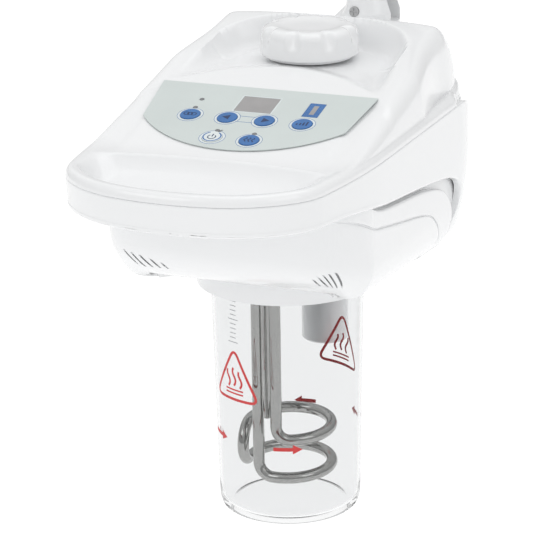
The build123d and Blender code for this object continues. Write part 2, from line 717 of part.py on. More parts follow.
with BuildPart() as boot_pin:
    with BuildSketch(ARM_MIDPLANE):
        with Locations((0, PIVOT_Z)):
            Circle(PIN_R)
    extrude(amount=22.5, both=True)
    for side in (-1, 1):
        with BuildSketch(Plane.XZ.offset(-ARM_Y + side * 22.5)):
            with Locations((0, PIVOT_Z)):
                Circle(3.6)
        extrude(amount=side * 1.6)
        with BuildSketch(Plane.XZ.offset(-ARM_Y + side * 24.1)):
            with Locations((0, PIVOT_Z)):
                Rectangle(5.4, 0.9)
                Rectangle(0.9, 5.4)
        extrude(amount=-side * 0.8, mode=Mode.SUBTRACT)
save(boot_pin, "boot_pin")

with BuildPart() as lower_arm_foot:
    with BuildSketch(ARM_MIDPLANE):
        with Locations((0, PIVOT_Z)):
            Circle(EYE_R)
    extrude(amount=EYE_R - 0.2, both=True)
    with BuildSketch(across(LOWER_PIVOT, LEAN, 2)):
        Circle(EYE_R - 0.2)
    extrude(amount=14)
    with BuildSketch(across(LOWER_PIVOT, LEAN, 16)):
        Circle(ARM_R - 1.55)
    extrude(amount=20)
    with BuildSketch(ARM_MIDPLANE):
        with Locations((0, PIVOT_Z)):
            Circle(PIN_R + 0.05)
    extrude(amount=20, both=True, mode=Mode.SUBTRACT)
save(lower_arm_foot, "lower_arm_foot")


def arm_tube(name, start, lean, begin, end):
    """Metal tube of an arm between two distances from its lower hinge."""
    with BuildPart() as tube:
        with BuildSketch(across(start, lean, begin)):
            Circle(ARM_R)
            Circle(ARM_R - 1.5, mode=Mode.SUBTRACT)
        extrude(amount=end - begin)
    save(tube, name)


def fitting(name, hinge, lean, fork, bored=ARM_R + 0.05):
    """End fitting of an arm: a fork or a tongue at the hinge, a sleeve beyond it."""
    with BuildPart() as piece:
        with BuildSketch(across(hinge, lean, FORK_REACH)):
            Circle(FORK_R)
        extrude(amount=FITTING)
        fillet(piece.faces().sort_by(lambda f: (f.center() - hinge).length)[-1].edges(), 2.0)
        with BuildSketch(across(hinge, lean, FORK_REACH + 4)):
            Circle(bored)
        extrude(amount=FITTING, mode=Mode.SUBTRACT)
        middle = hinge + lean_axis(lean) * (FORK_REACH / 2 + 1)
        far = hinge + lean_axis(lean) * (FORK_REACH + 2)
        centre_2d, far_2d = (middle.X, middle.Z), (far.X, far.Z)
        radius = FORK_R if fork else FORK_R - 0.5
        with BuildSketch(ARM_MIDPLANE):
            SlotCenterPoint(centre_2d, far_2d, 2 * radius)
        near_slot = extrude(amount=FORK_R - 0.3 if fork else TONGUE, both=True,
                            mode=Mode.PRIVATE)
        with BuildSketch(across(hinge, lean, -FORK_R - 1)):
            Circle(2 * FORK_R)
        keep = extrude(amount=FORK_R + FORK_REACH + 1.5, mode=Mode.PRIVATE)
        add(near_slot & keep)
        if fork:
            with BuildSketch(across(hinge, lean, -FORK_R - 1)):
                Rectangle(2 * TONGUE + 0.7, 60)
            extrude(amount=FORK_R + FORK_REACH - 2, mode=Mode.SUBTRACT)
        with BuildSketch(ARM_MIDPLANE):
            with Locations((hinge.X, hinge.Z)):
                Circle(3.02 if fork else 3.05)
        extrude(amount=30, both=True, mode=Mode.SUBTRACT)
    save(piece, name)


def hinge_pin(name, hinge):
    """Pin through a fork, with a flat round head at each side."""
    with BuildPart() as pin:
        with BuildSketch(ARM_MIDPLANE):
            with Locations((hinge.X, hinge.Z)):
                Circle(3.0)
        extrude(amount=FORK_R - 0.3, both=True)
        for side in (-1, 1):
            with BuildSketch(Plane.XZ.offset(-ARM_Y + side * (FORK_R - 0.3))):
                with Locations((hinge.X, hinge.Z)):
                    Circle(9.0)
            extrude(amount=side * 2.4)
        ends = pin.faces().filter_by(Axis.Y).sort_by(Axis.Y)
        fillet([ends[0].edges()[0], ends[-1].edges()[0]], 1.2)
    save(pin, name)


arm_tube("lower_arm_tube", LOWER_PIVOT, LEAN, 16.2, LOWER_ARM - FORK_REACH - 4.2)
fitting("lower_arm_fork", ELBOW, LEAN + 180, fork=True)
hinge_pin("elbow_pin", ELBOW)
fitting("upper_arm_tongue", ELBOW, UPPER_LEAN, fork=False)
arm_tube("upper_arm_tube", ELBOW, UPPER_LEAN, FORK_REACH + 4.2, UPPER_ARM - FORK_REACH - 4.2)
fitting("wrist_tongue", WRIST, UPPER_LEAN + 180, fork=False)
fitting("nozzle_fork", WRIST, NOZZLE_LEAN, fork=True, bored=8.0)
hinge_pin("wrist_pin", WRIST)

NOZZLE_START = FORK_REACH + FITTING + 0.1
with BuildPart() as nozzle_head:
    with BuildSketch(across(WRIST, NOZZLE_LEAN, NOZZLE_START)):
        Circle(15)
    with BuildSketch(across(WRIST, NOZZLE_LEAN, NOZZLE_START + 16)):
        Circle(24)
    loft()
    with BuildSketch(across(WRIST, NOZZLE_LEAN, NOZZLE_START + 16)):
        Circle(24)
    extrude(amount=34)
    with BuildSketch(across(WRIST, NOZZLE_LEAN, NOZZLE_START + 10)):
        Circle(12)
    extrude(amount=60, mode=Mode.SUBTRACT)
    with BuildSketch(across(WRIST, NOZZLE_LEAN, NOZZLE_START + 24)):
        Circle(21)
    extrude(amount=60, mode=Mode.SUBTRACT)
    with BuildSketch(across(WRIST, NOZZLE_LEAN, NOZZLE_START - 5)):
        Circle(6)
    extrude(amount=60, mode=Mode.SUBTRACT)
save(nozzle_head, "nozzle_head")

with BuildPart() as aroma_tray:
    with BuildSketch(across(WRIST, NOZZLE_LEAN, NOZZLE_START + 24.2)):
        Circle(20.9)
        with PolarLocations(15.5, 6):
            Circle(3.2, mode=Mode.SUBTRACT)
        Circle(9, mode=Mode.SUBTRACT)
    extrude(amount=3)
save(aroma_tray, "aroma_tray")

MOUTH_START = NOZZLE_START + 50.3
with BuildPart() as nozzle_mouth:
    with BuildSketch(across(WRIST, NOZZLE_LEAN, MOUTH_START - 14)):
        Circle(20.95)
        Circle(18.5, mode=Mode.SUBTRACT)
    extrude(amount=14)
    with BuildSketch(across(WRIST, NOZZLE_LEAN, MOUTH_START)):
        Circle(23.5)
        Circle(18.5, mode=Mode.SUBTRACT)
    extrude(amount=3)
    with BuildSketch(across(WRIST, NOZZLE_LEAN, MOUTH_START + 3)):
        Circle(23.5)
    with BuildSketch(across(WRIST, NOZZLE_LEAN, MOUTH_START + 21)):
        Rectangle(24, 30)
    loft()
    with BuildSketch(across(WRIST, NOZZLE_LEAN, MOUTH_START + 3)):
        Circle(18.5)
    with BuildSketch(across(WRIST, NOZZLE_LEAN, MOUTH_START + 21.1)):
        Rectangle(18, 24)
    loft(mode=Mode.SUBTRACT)
save(nozzle_mouth, "nozzle_mouth")
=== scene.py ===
"""Looks for the facial steamer head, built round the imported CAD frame.

Metres in the scene; the helpers take millimetres and scale them with MM.
"""
from math import atan2, cos, hypot, pi, radians, sin, sqrt, tan

import bmesh
import bpy
import numpy as np
from mathutils import Matrix, Vector


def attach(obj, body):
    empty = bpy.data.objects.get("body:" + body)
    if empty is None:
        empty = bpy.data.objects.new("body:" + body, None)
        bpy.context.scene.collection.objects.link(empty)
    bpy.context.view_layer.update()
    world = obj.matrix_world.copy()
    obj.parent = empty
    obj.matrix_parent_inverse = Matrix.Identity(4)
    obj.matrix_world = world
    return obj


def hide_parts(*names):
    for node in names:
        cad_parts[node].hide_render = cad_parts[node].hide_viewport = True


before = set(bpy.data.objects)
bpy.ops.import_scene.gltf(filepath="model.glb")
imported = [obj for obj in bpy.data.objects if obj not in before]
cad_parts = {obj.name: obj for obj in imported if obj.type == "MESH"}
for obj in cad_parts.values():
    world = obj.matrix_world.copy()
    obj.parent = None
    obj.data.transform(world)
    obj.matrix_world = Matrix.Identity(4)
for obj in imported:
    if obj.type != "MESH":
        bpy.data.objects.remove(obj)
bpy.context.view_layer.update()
MM = 0.001
JAR_Y = -73.0

# ---- camera, at the photograph's viewing angle ----------------------------------------
AZIMUTH, ELEVATION, ROLL = radians(22.62), radians(18.06), radians(-0.98)
TARGET = Vector((-0.0001, -0.1094, 0.0857))
DISTANCE, LENS, SENSOR = 1.8839, 189.1, 36.0


def add_camera():
    """Camera looking at TARGET from the front, right and above."""
    back = Vector((sin(AZIMUTH) * cos(ELEVATION), -cos(AZIMUTH) * cos(ELEVATION), sin(ELEVATION)))
    level = Vector((cos(AZIMUTH), sin(AZIMUTH), 0))
    right = level * cos(ROLL) + back.cross(level) * sin(ROLL)
    up = back.cross(right)
    data = bpy.data.cameras.new("camera")
    data.lens, data.sensor_width = LENS, SENSOR
    data.clip_start, data.clip_end = 0.05, 50
    camera = bpy.data.objects.new("camera", data)
    bpy.context.scene.collection.objects.link(camera)
    turn = Matrix((right, up, back)).transposed().to_4x4()
    camera.matrix_world = Matrix.Translation(TARGET + back * DISTANCE) @ turn
    bpy.context.scene.camera = camera


add_camera()


# ---- materials -------------------------------------------------------------------------
def srgb(r, g, b):
    """Linear colour of an sRGB triple given from 0 to 255."""
    def lin(v):
        v /= 255
        return v / 12.92 if v <= 0.04045 else ((v + 0.055) / 1.055) ** 2.4
    return (lin(r), lin(g), lin(b), 1.0)


def principled(name):
    """New material with its nodes and links."""
    material = bpy.data.materials.new(name)
    material.use_nodes = True
    return material, material.node_tree.nodes, material.node_tree.links


def noise(nodes, links, scale, detail=3.0, stretch=(1, 1, 1)):
    """Noise texture in object space, which is the shared frame."""
    where = nodes.new("ShaderNodeTexCoord")
    mapping = nodes.new("ShaderNodeMapping")
    mapping.inputs["Scale"].default_value = stretch
    texture = nodes.new("ShaderNodeTexNoise")
    texture.inputs["Scale"].default_value = scale
    texture.inputs["Detail"].default_value = detail
    links.new(where.outputs["Object"], mapping.inputs["Vector"])
    links.new(mapping.outputs["Vector"], texture.inputs["Vector"])
    return texture.outputs["Fac"]


def ramp(nodes, links, source, low, high, from_low=0.3, from_high=0.7):
    """Maps a noise value onto a range of numbers."""
    node = nodes.new("ShaderNodeMapRange")
    for key, value in (("From Min", from_low), ("From Max", from_high), ("To Min", low),
                       ("To Max", high)):
        node.inputs[key].default_value = value
    links.new(source, node.inputs["Value"])
    return node.outputs["Result"]


def surface(name, colour, vary=0.03, rough=(0.25, 0.35), grain=900.0, bump=0.02, cloud=14.0,
            stretch=(1, 1, 1), **settings):
    """Procedural finish: clouded colour, uneven roughness and a fine grain in the normal."""
    material, nodes, links = principled(name)
    shader = nodes["Principled BSDF"]
    clouds = noise(nodes, links, cloud)
    mix = nodes.new("ShaderNodeMix")
    mix.data_type = "RGBA"
    mix.inputs[6].default_value = [c * (1 - vary) for c in colour[:3]] + [1]
    mix.inputs[7].default_value = [min(1.0, c * (1 + vary)) for c in colour[:3]] + [1]
    links.new(ramp(nodes, links, clouds, 0, 1), mix.inputs[0])
    links.new(mix.outputs[2], shader.inputs["Base Color"])
    fine = noise(nodes, links, grain, 2.0, stretch)
    links.new(ramp(nodes, links, fine, *rough), shader.inputs["Roughness"])
    if bump:
        relief = nodes.new("ShaderNodeBump")
        relief.inputs["Strength"].default_value = bump
        relief.inputs["Distance"].default_value = 0.0002
        links.new(fine, relief.inputs["Height"])
        links.new(relief.outputs["Normal"], shader.inputs["Normal"])
    for key, value in settings.items():
        shader.inputs[key.replace("_", " ")].default_value = value
    return material


def clear_plastic(name):
    """Clear moulded jar: fresnel gloss over a faintly tinted see-through body."""
    material, nodes, links = principled(name)
    shader = nodes["Principled BSDF"]
    shader.inputs["Base Color"].default_value = (0.885, 0.89, 0.893, 1)
    shader.inputs["Transmission Weight"].default_value = 1.0
    shader.inputs["IOR"].default_value = 1.1
    ripple = noise(nodes, links, 60.0, 2.0, (1, 1, 0.25))
    links.new(ramp(nodes, links, ripple, 0.0, 0.035), shader.inputs["Roughness"])
    relief = nodes.new("ShaderNodeBump")
    relief.inputs["Strength"].default_value = 0.03
    relief.inputs["Distance"].default_value = 0.001
    links.new(ripple, relief.inputs["Height"])
    links.new(relief.outputs["Normal"], shader.inputs["Normal"])
    return material


WHITE = srgb(240, 241, 242)
finish = {
    "white_gloss": surface("white_gloss", WHITE, 0.006, (0.2, 0.24), 30, 0, 9,
                           Coat_Weight=0.5, Coat_Roughness=0.1),
    "white_matte": surface("white_matte", srgb(236, 237, 238), 0.015, (0.42, 0.52), 1500, 0.05),
    "panel_film": surface("panel_film", srgb(206, 214, 212), 0.02, (0.34, 0.42), 2600, 0.04, 30),
    "key_blue": surface("key_blue", srgb(50, 108, 172), 0.08, (0.35, 0.45), 2200, 0.05, 160),
    "key_pale": surface("key_pale", srgb(222, 229, 230), 0.02, (0.35, 0.45), 2200, 0.05, 60),
    "smoked_window": surface("smoked_window", srgb(158, 156, 156), 0.05, (0.3, 0.4), 1800, 0.05,
                             90),
    "blue_window": surface("blue_window", srgb(48, 106, 170), 0.06, (0.25, 0.35), 1800, 0.03, 90),
    "display": surface("display", srgb(120, 120, 122), 0.06, (0.4, 0.5), 900, 0.03),
    "lens": surface("lens", srgb(120, 122, 124), 0.08, (0.18, 0.28), 1500, 0.03, 200),
    "circuit_board": surface("circuit_board", srgb(40, 96, 62), 0.15, (0.4, 0.55), 700, 0.1, 120),
    "black_plastic": surface("black_plastic", srgb(28, 28, 30), 0.15, (0.45, 0.6), 1400, 0.1, 60),
    "transformer_steel": surface("transformer_steel", srgb(120, 118, 112), 0.1, (0.4, 0.55), 500,
                                 0.1, 60, Metallic=0.9),
    "rubber": surface("rubber", srgb(205, 206, 206), 0.05, (0.6, 0.75), 1500, 0.12, 80),
    "jar_glass": clear_plastic("jar_glass"),
    "polished_steel": surface("polished_steel", (0.42, 0.42, 0.41, 1), 0.03, (0.08, 0.15), 420, 0,
                              40, (1, 1, 0.1), Metallic=1.0),
    "brushed_steel": surface("brushed_steel", (0.5, 0.5, 0.5, 1), 0.06, (0.25, 0.4), 900, 0.05,
                             40, (1, 1, 0.08), Metallic=1.0),
    "duct_plastic": surface("duct_plastic", srgb(214, 214, 210), 0.03, (0.5, 0.6), 900, 0.08),
    "arm_grey": surface("arm_grey", srgb(186, 187, 188), 0.03, (0.32, 0.42), 1100, 0.04),
    "print_red": surface("print_red", srgb(206, 62, 62), 0.05, (0.5, 0.6), 3000, 0.05, 200),
    "print_grey": surface("print_grey", srgb(120, 124, 128), 0.05, (0.5, 0.6), 3000, 0.05, 200),
    "print_navy": surface("print_navy", srgb(26, 52, 96), 0.08, (0.45, 0.55), 3000, 0.05, 200),
    "recess_grey": surface("recess_grey", srgb(236, 237, 238), 0.02, (0.45, 0.55), 1500, 0.05),
    # slot_dark: darker grey that is painted shade, standing in for the dark inside of the real
    # through vents
    "slot_dark": surface("slot_dark", srgb(176, 177, 178), 0.05, (0.6, 0.7), 1500, 0.05),
}


def dress_cad():
    """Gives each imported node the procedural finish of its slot."""
    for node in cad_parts.values():
        for place in node.material_slots:
            key = place.material.name.split(".")[0]
            if key in finish:
                place.material = finish[key]


dress_cad()


def mesh_piece(name, verts, faces, slot, body="head", replaces=(), sharp=32.0, thick=0.0,
               extra=(), face_slots=None, merge=0.00001):
    """Mesh object in metres, cleaned, shaded, optionally thickened inwards, riding on a body."""
    mesh = bpy.data.meshes.new(name)
    mesh.from_pydata([tuple(v) for v in verts], [], [tuple(f) for f in faces])
    mesh.materials.append(finish[slot])
    for other in extra:
        mesh.materials.append(finish[other])
    if face_slots is not None:
        for polygon, index in zip(mesh.polygons, face_slots):
            polygon.material_index = int(index)
    clean = bmesh.new()
    clean.from_mesh(mesh)
    bmesh.ops.remove_doubles(clean, verts=clean.verts, dist=merge)
    bmesh.ops.dissolve_degenerate(clean, edges=clean.edges, dist=merge / 2)
    bmesh.ops.recalc_face_normals(clean, faces=clean.faces)
    clean.to_mesh(mesh)
    clean.free()
    piece = bpy.data.objects.new(name, mesh)
    bpy.context.scene.collection.objects.link(piece)
    if thick:
        shell = piece.modifiers.new("thick", "SOLIDIFY")
        shell.thickness, shell.offset = thick * MM, -1
        bpy.context.view_layer.update()
        final = piece.evaluated_get(bpy.context.evaluated_depsgraph_get())
        solid = bpy.data.meshes.new_from_object(final)
        piece.modifiers.clear()
        piece.data = solid
        mesh = solid
    mesh.shade_smooth()
    mesh.set_sharp_from_angle(angle=radians(sharp))
    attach(piece, body)
    if replaces:
        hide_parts(*replaces)
    return piece


def grid_faces(rows, columns, wrap=False, start=0):
    """Quads of a rows by columns grid of vertices."""
    last = columns if wrap else columns - 1
    return [
        (start + r * columns + c, start + r * columns + (c + 1) % columns,
         start + (r + 1) * columns + (c + 1) % columns, start + (r + 1) * columns + c)
        for r in range(rows - 1) for c in range(last)
    ]


def lathe(name, profile, centre, slot, segments=128, **options):
    """Closed turned piece: profile is (radius, z) from the axis outside and back to the axis."""
    verts = []
    for radius, z in profile:
        for k in range(segments):
            angle = 2 * pi * k / segments
            verts.append(((centre[0] + radius * cos(angle)) * MM,
                          (centre[1] + radius * sin(angle)) * MM, z * MM))
    return mesh_piece(name, verts, grid_faces(len(profile), segments, wrap=True), slot, **options)


def rounded(points, radius=1.0, steps=6):
    """Polyline with its inner corners rounded, for a smooth turned profile."""
    out = [points[0]]
    for before, here, after in zip(points, points[1:], points[2:]):
        a, b, c = Vector(before), Vector(here), Vector(after)
        reach = min(radius, (a - b).length * 0.48, (c - b).length * 0.48)
        if reach < 1e-6:
            out.append(here)
            continue
        p, q = b + (a - b).normalized() * reach, b + (c - b).normalized() * reach
        for k in range(steps + 1):
            t = k / steps
            out.append(tuple(p * (1 - t) ** 2 + b * 2 * t * (1 - t) + q * t ** 2))
    out.append(points[-1])
    return out


def tube(name, path, radius, slot, sides=28, **options):
    """Round bar along a path, with closed ends."""
    points = [Vector(p) for p in path]
    tangents = [(points[min(i + 1, len(points) - 1)] - points[max(i - 1, 0)]).normalized()
                for i in range(len(points))]
    side = tangents[0].orthogonal().normalized()
    verts = []
    for here, along in zip(points, tangents):
        side = (side - along * side.dot(along)).normalized()
        other = along.cross(side)
        for k in range(sides):
            angle = 2 * pi * k / sides
            verts.append((here + (side * cos(angle) + other * sin(angle)) * radius) * MM)
    faces = grid_faces(len(points), sides, wrap=True)
    faces.append(tuple(range(sides)))
    faces.append(tuple((len(points) - 1) * sides + k for k in range(sides)))
    return mesh_piece(name, verts, faces, slot, sharp=50, **options)


# ---- plan outlines ---------------------------------------------------------------------
class Outline:
    """Half of a plan outline: from the front centre round the right side to the rear centre."""

    def __init__(self, front, pieces):
        self.spans, here, heading, length = [], Vector((0, front)), 0.0, 0.0
        for kind, size, turn in pieces:
            if kind == "to_y":
                size = size - here.y
            if kind == "close":
                size = here.x / sin(radians(turn))
            run = size if kind in ("line", "to_y") else size * radians(turn)
            self.spans.append((length, run, here.copy(), heading, None if turn == 0 else size))
            here, heading = self._place(self.spans[-1], run)
            length += run
        self.length = length
        table = [self.at(length * k / 2000) for k in range(2001)]
        self.ys = np.array([p[1] for p in table])

    @staticmethod
    def _place(span, run):
        _, _, here, heading, radius = span
        along = Vector((cos(heading), sin(heading)))
        if radius is None:
            return here + along * run, heading
        left, turn = Vector((-sin(heading), cos(heading))), run / radius
        centre = here + left * radius
        return centre + (along * sin(turn) - left * cos(turn)) * radius, heading + turn

    def at(self, s):
        """x, y and outward normal at a distance along the outline; negative s is the left half."""
        side, s = (-1 if s < 0 else 1), min(abs(s), self.length)
        for span in self.spans:
            if s <= span[0] + span[1] + 1e-9:
                break
        place, heading = self._place(span, s - span[0])
        return side * place.x, place.y, side * sin(heading), -cos(heading)

    def s_of_y(self, y):
        """Distance along the right half at which the outline passes y."""
        return float(np.interp(y, self.ys, np.linspace(0, self.length, len(self.ys))))


HEAD = Outline(-276.0, [("arc", 163, 12), ("arc", 80, 38), ("arc", 42, 30), ("arc", 540, 10),
                        ("to_y", 14.0, 0), ("arc", 103, 60), ("close", 0, 30)])
BELLY_FLAT, BELLY_CORNER = 66, 27.0
BELLY = Outline(-178, [("line", BELLY_FLAT, 0), ("arc", BELLY_CORNER, 90), ("to_y", 14.0, 0),
                       ("arc", 100, 60), ("close", 0, 30)])


def smoothstep(t):
    t = min(1.0, max(0.0, t))
    return t * t * (3 - 2 * t)


def smooth_min(a, b, k):
    h = min(1.0, max(0.0, 0.5 + 0.5 * (b - a) / k))
    return b * (1 - h) + a * h - k * h * (1 - h)


def smooth_max(a, b, k):
    return -smooth_min(-a, -b, k)


# ---- top cover -------------------------------------------------------------------------
SEAM_Z, LIP_Z, LIP_ROUND = 177.0, 183.3, 4.5
SLOPE = radians(13.8)
SLOPE_RISE = tan(SLOPE)
PANEL_Y, PANEL_Z = -98.5, 205.6
CREST_Z, CREST_Y, DECK_Y, DECK_Z = 232.6, 12.0, 52.0, 212.0
PANEL_HALF, REAR_RIM_Y, TROUGH_DEPTH = 64.0, -193.0, 15.5
CAP_Y, CAP_Z, CAP_R = -26.0, 214.8, 33.8


def slope_z(y):
    """Height of the sloping top and of the panel that lies on it."""
    return PANEL_Z + (y - PANEL_Y) * SLOPE_RISE


def ridge_y(x):
    """Soft ridge between the panel and the bowl round the cap."""
    return -66.0 - 33.0 * (abs(x) / 80.0) ** 1.9


def bowl_inside(x, y):
    """Distance, roughly in mm, inside the bowl's rim."""
    if y >= -36:
        reach = (abs(x) / 70.0) ** 2.4 + ((y + 36) / 52.0) ** 2.4
        return (1 - reach ** (1 / 2.4)) * 60
    half = 70.0 + 6.0 * ((-36 - y) / 62.0) ** 1.6
    return half - abs(x)


def top_z(x, y):
    """Height of the raised body's upper surface."""
    back = DECK_Z + (CREST_Z - DECK_Z) * smoothstep((DECK_Y - y) / (DECK_Y - CREST_Y))
    z = smooth_min(slope_z(y), back, 5.0)
    z -= 3.5 * smoothstep((y + 60) / 60) * (abs(x) / 84) ** 3
    ridge = ridge_y(x)
    if y > ridge:
        floor = slope_z(ridge) - 1.2 * smoothstep((y - ridge) / 14)
        inside = bowl_inside(x, y)
        if inside > 0:
            wall = max(0.0, 1 - inside / 15) ** 2.3
            z = min(z, floor + (z - floor) * wall)
    else:
        beyond = max(abs(x) - PANEL_HALF, 0.0)
        z -= 1.6 * smoothstep((beyond - 2.0) / 9) * smoothstep((ridge - y) / 12)
    return z


def trough_depth(x, y, inset):
    """How far the finger trough behind the handle lip drops."""
    front = min(1.0, max(0.0, (inset - 9.5) / 9))
    front = sqrt(max(0.0, 1 - (1 - front) ** 2.2))
    back = min(1.0, max(0.0, (REAR_RIM_Y - 0.0012 * x * x - y) / 36))
    rear = smooth_min(back * 6, 1 - (1 - back) ** 2.4, 0.15)
    end = smoothstep((84 - abs(x)) / 22)
    return TROUGH_DEPTH * front * max(0.0, rear) * end


def flange_width(y):
    """Width of the ledge round the raised body: it nearly vanishes beside the panel."""
    return 10.0 - 8.6 * smoothstep((4 - y) / 78)


def tuck(y, ny):
    """How far the rear corners sit inside the outline, behind the curled ends of the band."""
    return 6.5 * smoothstep((y - 2) / 22) * (1 - smoothstep((ny - 0.72) / 0.24))


def cover_z(x, y, inset, ledge):
    """Height of the top cover at a plan point that lies inset from its edge."""
    flange = LIP_Z - 0.5 * smoothstep((inset - 5) / 5)
    if inset < LIP_ROUND:
        flange = SEAM_Z + (LIP_Z - SEAM_Z) * sqrt(max(0.0, 1 - (1 - inset / LIP_ROUND) ** 2))
    rise = smooth_max(top_z(x, y) - LIP_Z, 0.0, 3.0) if inset > ledge else 0.0
    part = min(1.0, max(0.0, (inset - ledge) / 14.0))
    body = (1 - (1 - part) ** 2.8) ** 0.4
    return flange + rise * body - trough_depth(x, y, inset)


def top_cover():
    """Top moulding: rounded lip, flange, raised body with panel slope, bowl and trough."""
    around = 760
    lip = [0, 0.04, 0.12, 0.25, 0.4, 0.6, 0.8, 1.0]
    rise = [0, 0.002, 0.006, 0.015, 0.03, 0.055, 0.09, 0.135, 0.19, 0.25, 0.32, 0.4, 0.48, 0.56,
            0.64, 0.72, 0.8, 0.88, 0.94, 1.0]
    steps = 54
    verts = []
    spots = [HEAD.at(HEAD.length * (2 * k / around - 1)) for k in range(around)]
    last = 34.0
    for on_ledge, shares in ((True, lip), (False, rise[1:])):
        for share in shares:
            for x, y, nx, ny in spots:
                edge = tuck(y, ny)
                ledge = max(flange_width(y - ny * 6), edge + 2.2)
                if on_ledge:
                    inset = edge + share * (ledge - edge)
                else:
                    inset = ledge + (last - ledge) * share
                px, py = x - nx * inset, y - ny * inset
                verts.append((px * MM, py * MM, cover_z(px, py, inset - edge, ledge - edge) * MM))
    for step in range(1, steps + 1):
        t = step / steps
        for x, y, nx, ny in spots:
            px, py = x - nx * last, y - ny * last
            sy = min(40.0, max(-205.0, py))
            qx, qy = px * (1 - t), py * (1 - t) + sy * t
            verts.append((qx * MM, qy * MM, cover_z(qx, qy, last + 60 * t, 0.0) * MM))
    faces = grid_faces(len(lip) + len(rise) - 1 + steps, around, wrap=True)
    return mesh_piece("top_shell", verts, faces, "white_gloss", replaces=("top_cover",), sharp=50,
                      thick=1.6)


# ---- side walls: patches between curves drawn on the wall ------------------------------
def spline(points, count):
    """Evenly sampled Catmull-Rom curve through points."""
    pts = np.array(points, float)
    pts = np.vstack([2 * pts[0] - pts[1], pts, 2 * pts[-1] - pts[-2]])
    spans, out = len(pts) - 3, []
    for k in range(count):
        u = k / (count - 1) * spans
        i = min(int(u), spans - 1)
        t = u - i
        p0, p1, p2, p3 = pts[i:i + 4]
        out.append(0.5 * (2 * p1 + (p2 - p0) * t + (2 * p0 - 5 * p1 + 4 * p2 - p3) * t * t
                          + (3 * p1 - p0 - 3 * p2 + p3) * t ** 3))
    return np.array(out)


def shell_inset(z, ny=0.0):
    """How far the outer shell pulls in below the seam: it tapers towards its lower edge."""
    front = 0.145 * max(0.0, SEAM_Z - z) * max(0.0, -ny)
    return front + 17.0 * (1 - sqrt(max(0.0, 1 - (max(0.0, 143 - z) / 62) ** 2)))


def on_head(s, z, extra=0.0):
    """Point on the outer shell's wall."""
    x, y, nx, ny = HEAD.at(s)
    inset = shell_inset(z, ny) + extra
    x, y = x - nx * inset, y - ny * inset
    return (x * MM, y * MM, (z + sag(y, z)) * MM)


def belly_inset(z, ny):
    """Lower shell's wall: it leans forward above and rounds into the underside."""
    ahead = max(0.0, -ny)
    side = 17.0 * (1 - sqrt(max(0.0, 1 - (max(0.0, 112 - z) / 33) ** 2)))
    nose = 38.0 * (1 - sqrt(max(0.0, 1 - (max(0.0, 125 - z) / 46) ** 2)))
    lean = -0.12 * max(0.0, z - 117)
    return side + (nose + lean - side) * ahead


UNDERSIDE_Z, SAG_RATE, SAG_TOP = 79.0, 0.07, 122


def sag(y, z):
    """Height change of the lower part: the underside runs a little downhill to the rear."""
    return SAG_RATE * (JAR_Y - y) * smoothstep((SAG_TOP - z) / 40)


def hy(y):
    """Distance along HEAD at which it passes y."""
    return HEAD.s_of_y(y)


def by(y):
    """Distance along BELLY at which it passes y."""
    return BELLY.s_of_y(y)


TOP_Z = 176.7
BAND_TOP = [(0, TOP_Z), (40, TOP_Z), (80, TOP_Z), (hy(-225), TOP_Z), (hy(-195), TOP_Z),
            (hy(-160), TOP_Z), (hy(-128), TOP_Z), (hy(-76), TOP_Z), (hy(-40), TOP_Z),
            (hy(8), TOP_Z), (hy(24), 176.0), (hy(40), 171.0), (hy(52), 160.0), (hy(57), 146),
            (hy(57), 128), (hy(54), 110), (hy(48), 88)]
BAND_EDGE = [(0, 156.0), (40, 156.0), (80, 156.0), (hy(-225), 156.0), (hy(-195), 154.2),
             (hy(-160), 149.6), (hy(-128), 145), (hy(-76), 139), (hy(-40), 134.2),
             (hy(-14), 129.8), (hy(2), 125.6), (hy(13), 121), (hy(20), 115), (hy(21.5), 108),
             (hy(18), 101.5), (hy(12.5), 97), (hy(6), 88)]
WALL_COUNT = 340


def both_sides(rows):
    """Rows of right-side (s, z, extra) triples extended with their mirror image on the left."""
    return [[(-s, z, e) for s, z, e in reversed(row)][:-1] + list(row) for row in rows]


def wall_piece(name, rows, place, slot, sharp=40.0, thick=1.5, **options):
    """Patch through rows of (s, z, extra) on a wall, mirrored to both sides."""
    rows = both_sides(rows)
    verts = [place(*p) for row in rows for p in row]
    return mesh_piece(name, verts, grid_faces(len(rows), len(rows[0])), slot, sharp=sharp,
                      thick=thick, **options)


def side_band():
    """Band under the seam with its rounded lower edge, and the plate under the handle."""
    top, low = spline(BAND_TOP, WALL_COUNT), spline(BAND_EDGE, WALL_COUNT)
    shares = [0, 0.012, 0.03, 0.06, 0.12, 0.2, 0.3, 0.4, 0.5, 0.6, 0.7, 0.8, 0.88, 0.93]
    extras = [0.9, 0.35, 0.08] + [0] * (len(shares) - 3)
    edge = [(2.0, 0.0), (1.2, 0.12), (0.6, 0.45), (0.2, 1.0), (0.0, 1.8), (0.1, 5.0)]
    rows = [[(a[0], a[1] + 0.1, 9.5) for a in top]]
    for share, extra in zip(shares, extras):
        rows.append([(a[0] + (b[0] - a[0]) * share, a[1] + (b[1] - a[1]) * share, extra)
                     for a, b in zip(top, low)])
    for above, extra in edge:
        row = []
        for a, b in zip(top, low):
            reach = max(1e-6, hypot(a[0] - b[0], a[1] - b[1]))
            row.append((b[0] + (a[0] - b[0]) * above / reach, b[1] + (a[1] - b[1]) * above / reach,
                        extra))
        rows.append(row)
    wall_piece("band_shell", rows, on_head, "white_gloss", replaces=("side_band",))
    verts, lines, columns = [], 60, 41
    for k in range(lines):
        s = HEAD.s_of_y(-160) * k / (lines - 1)
        x, y, nx, ny = HEAD.at(s)
        inset = shell_inset(156, ny) + 3.2
        half, py = max(0.0, x - nx * inset), y - ny * inset
        for c in range(columns):
            verts.append((half * (2 * c / (columns - 1) - 1) * MM, py * MM, 156.4 * MM))
    mesh_piece("handle_underside", verts, grid_faces(lines, columns), "white_gloss", thick=-1.5)


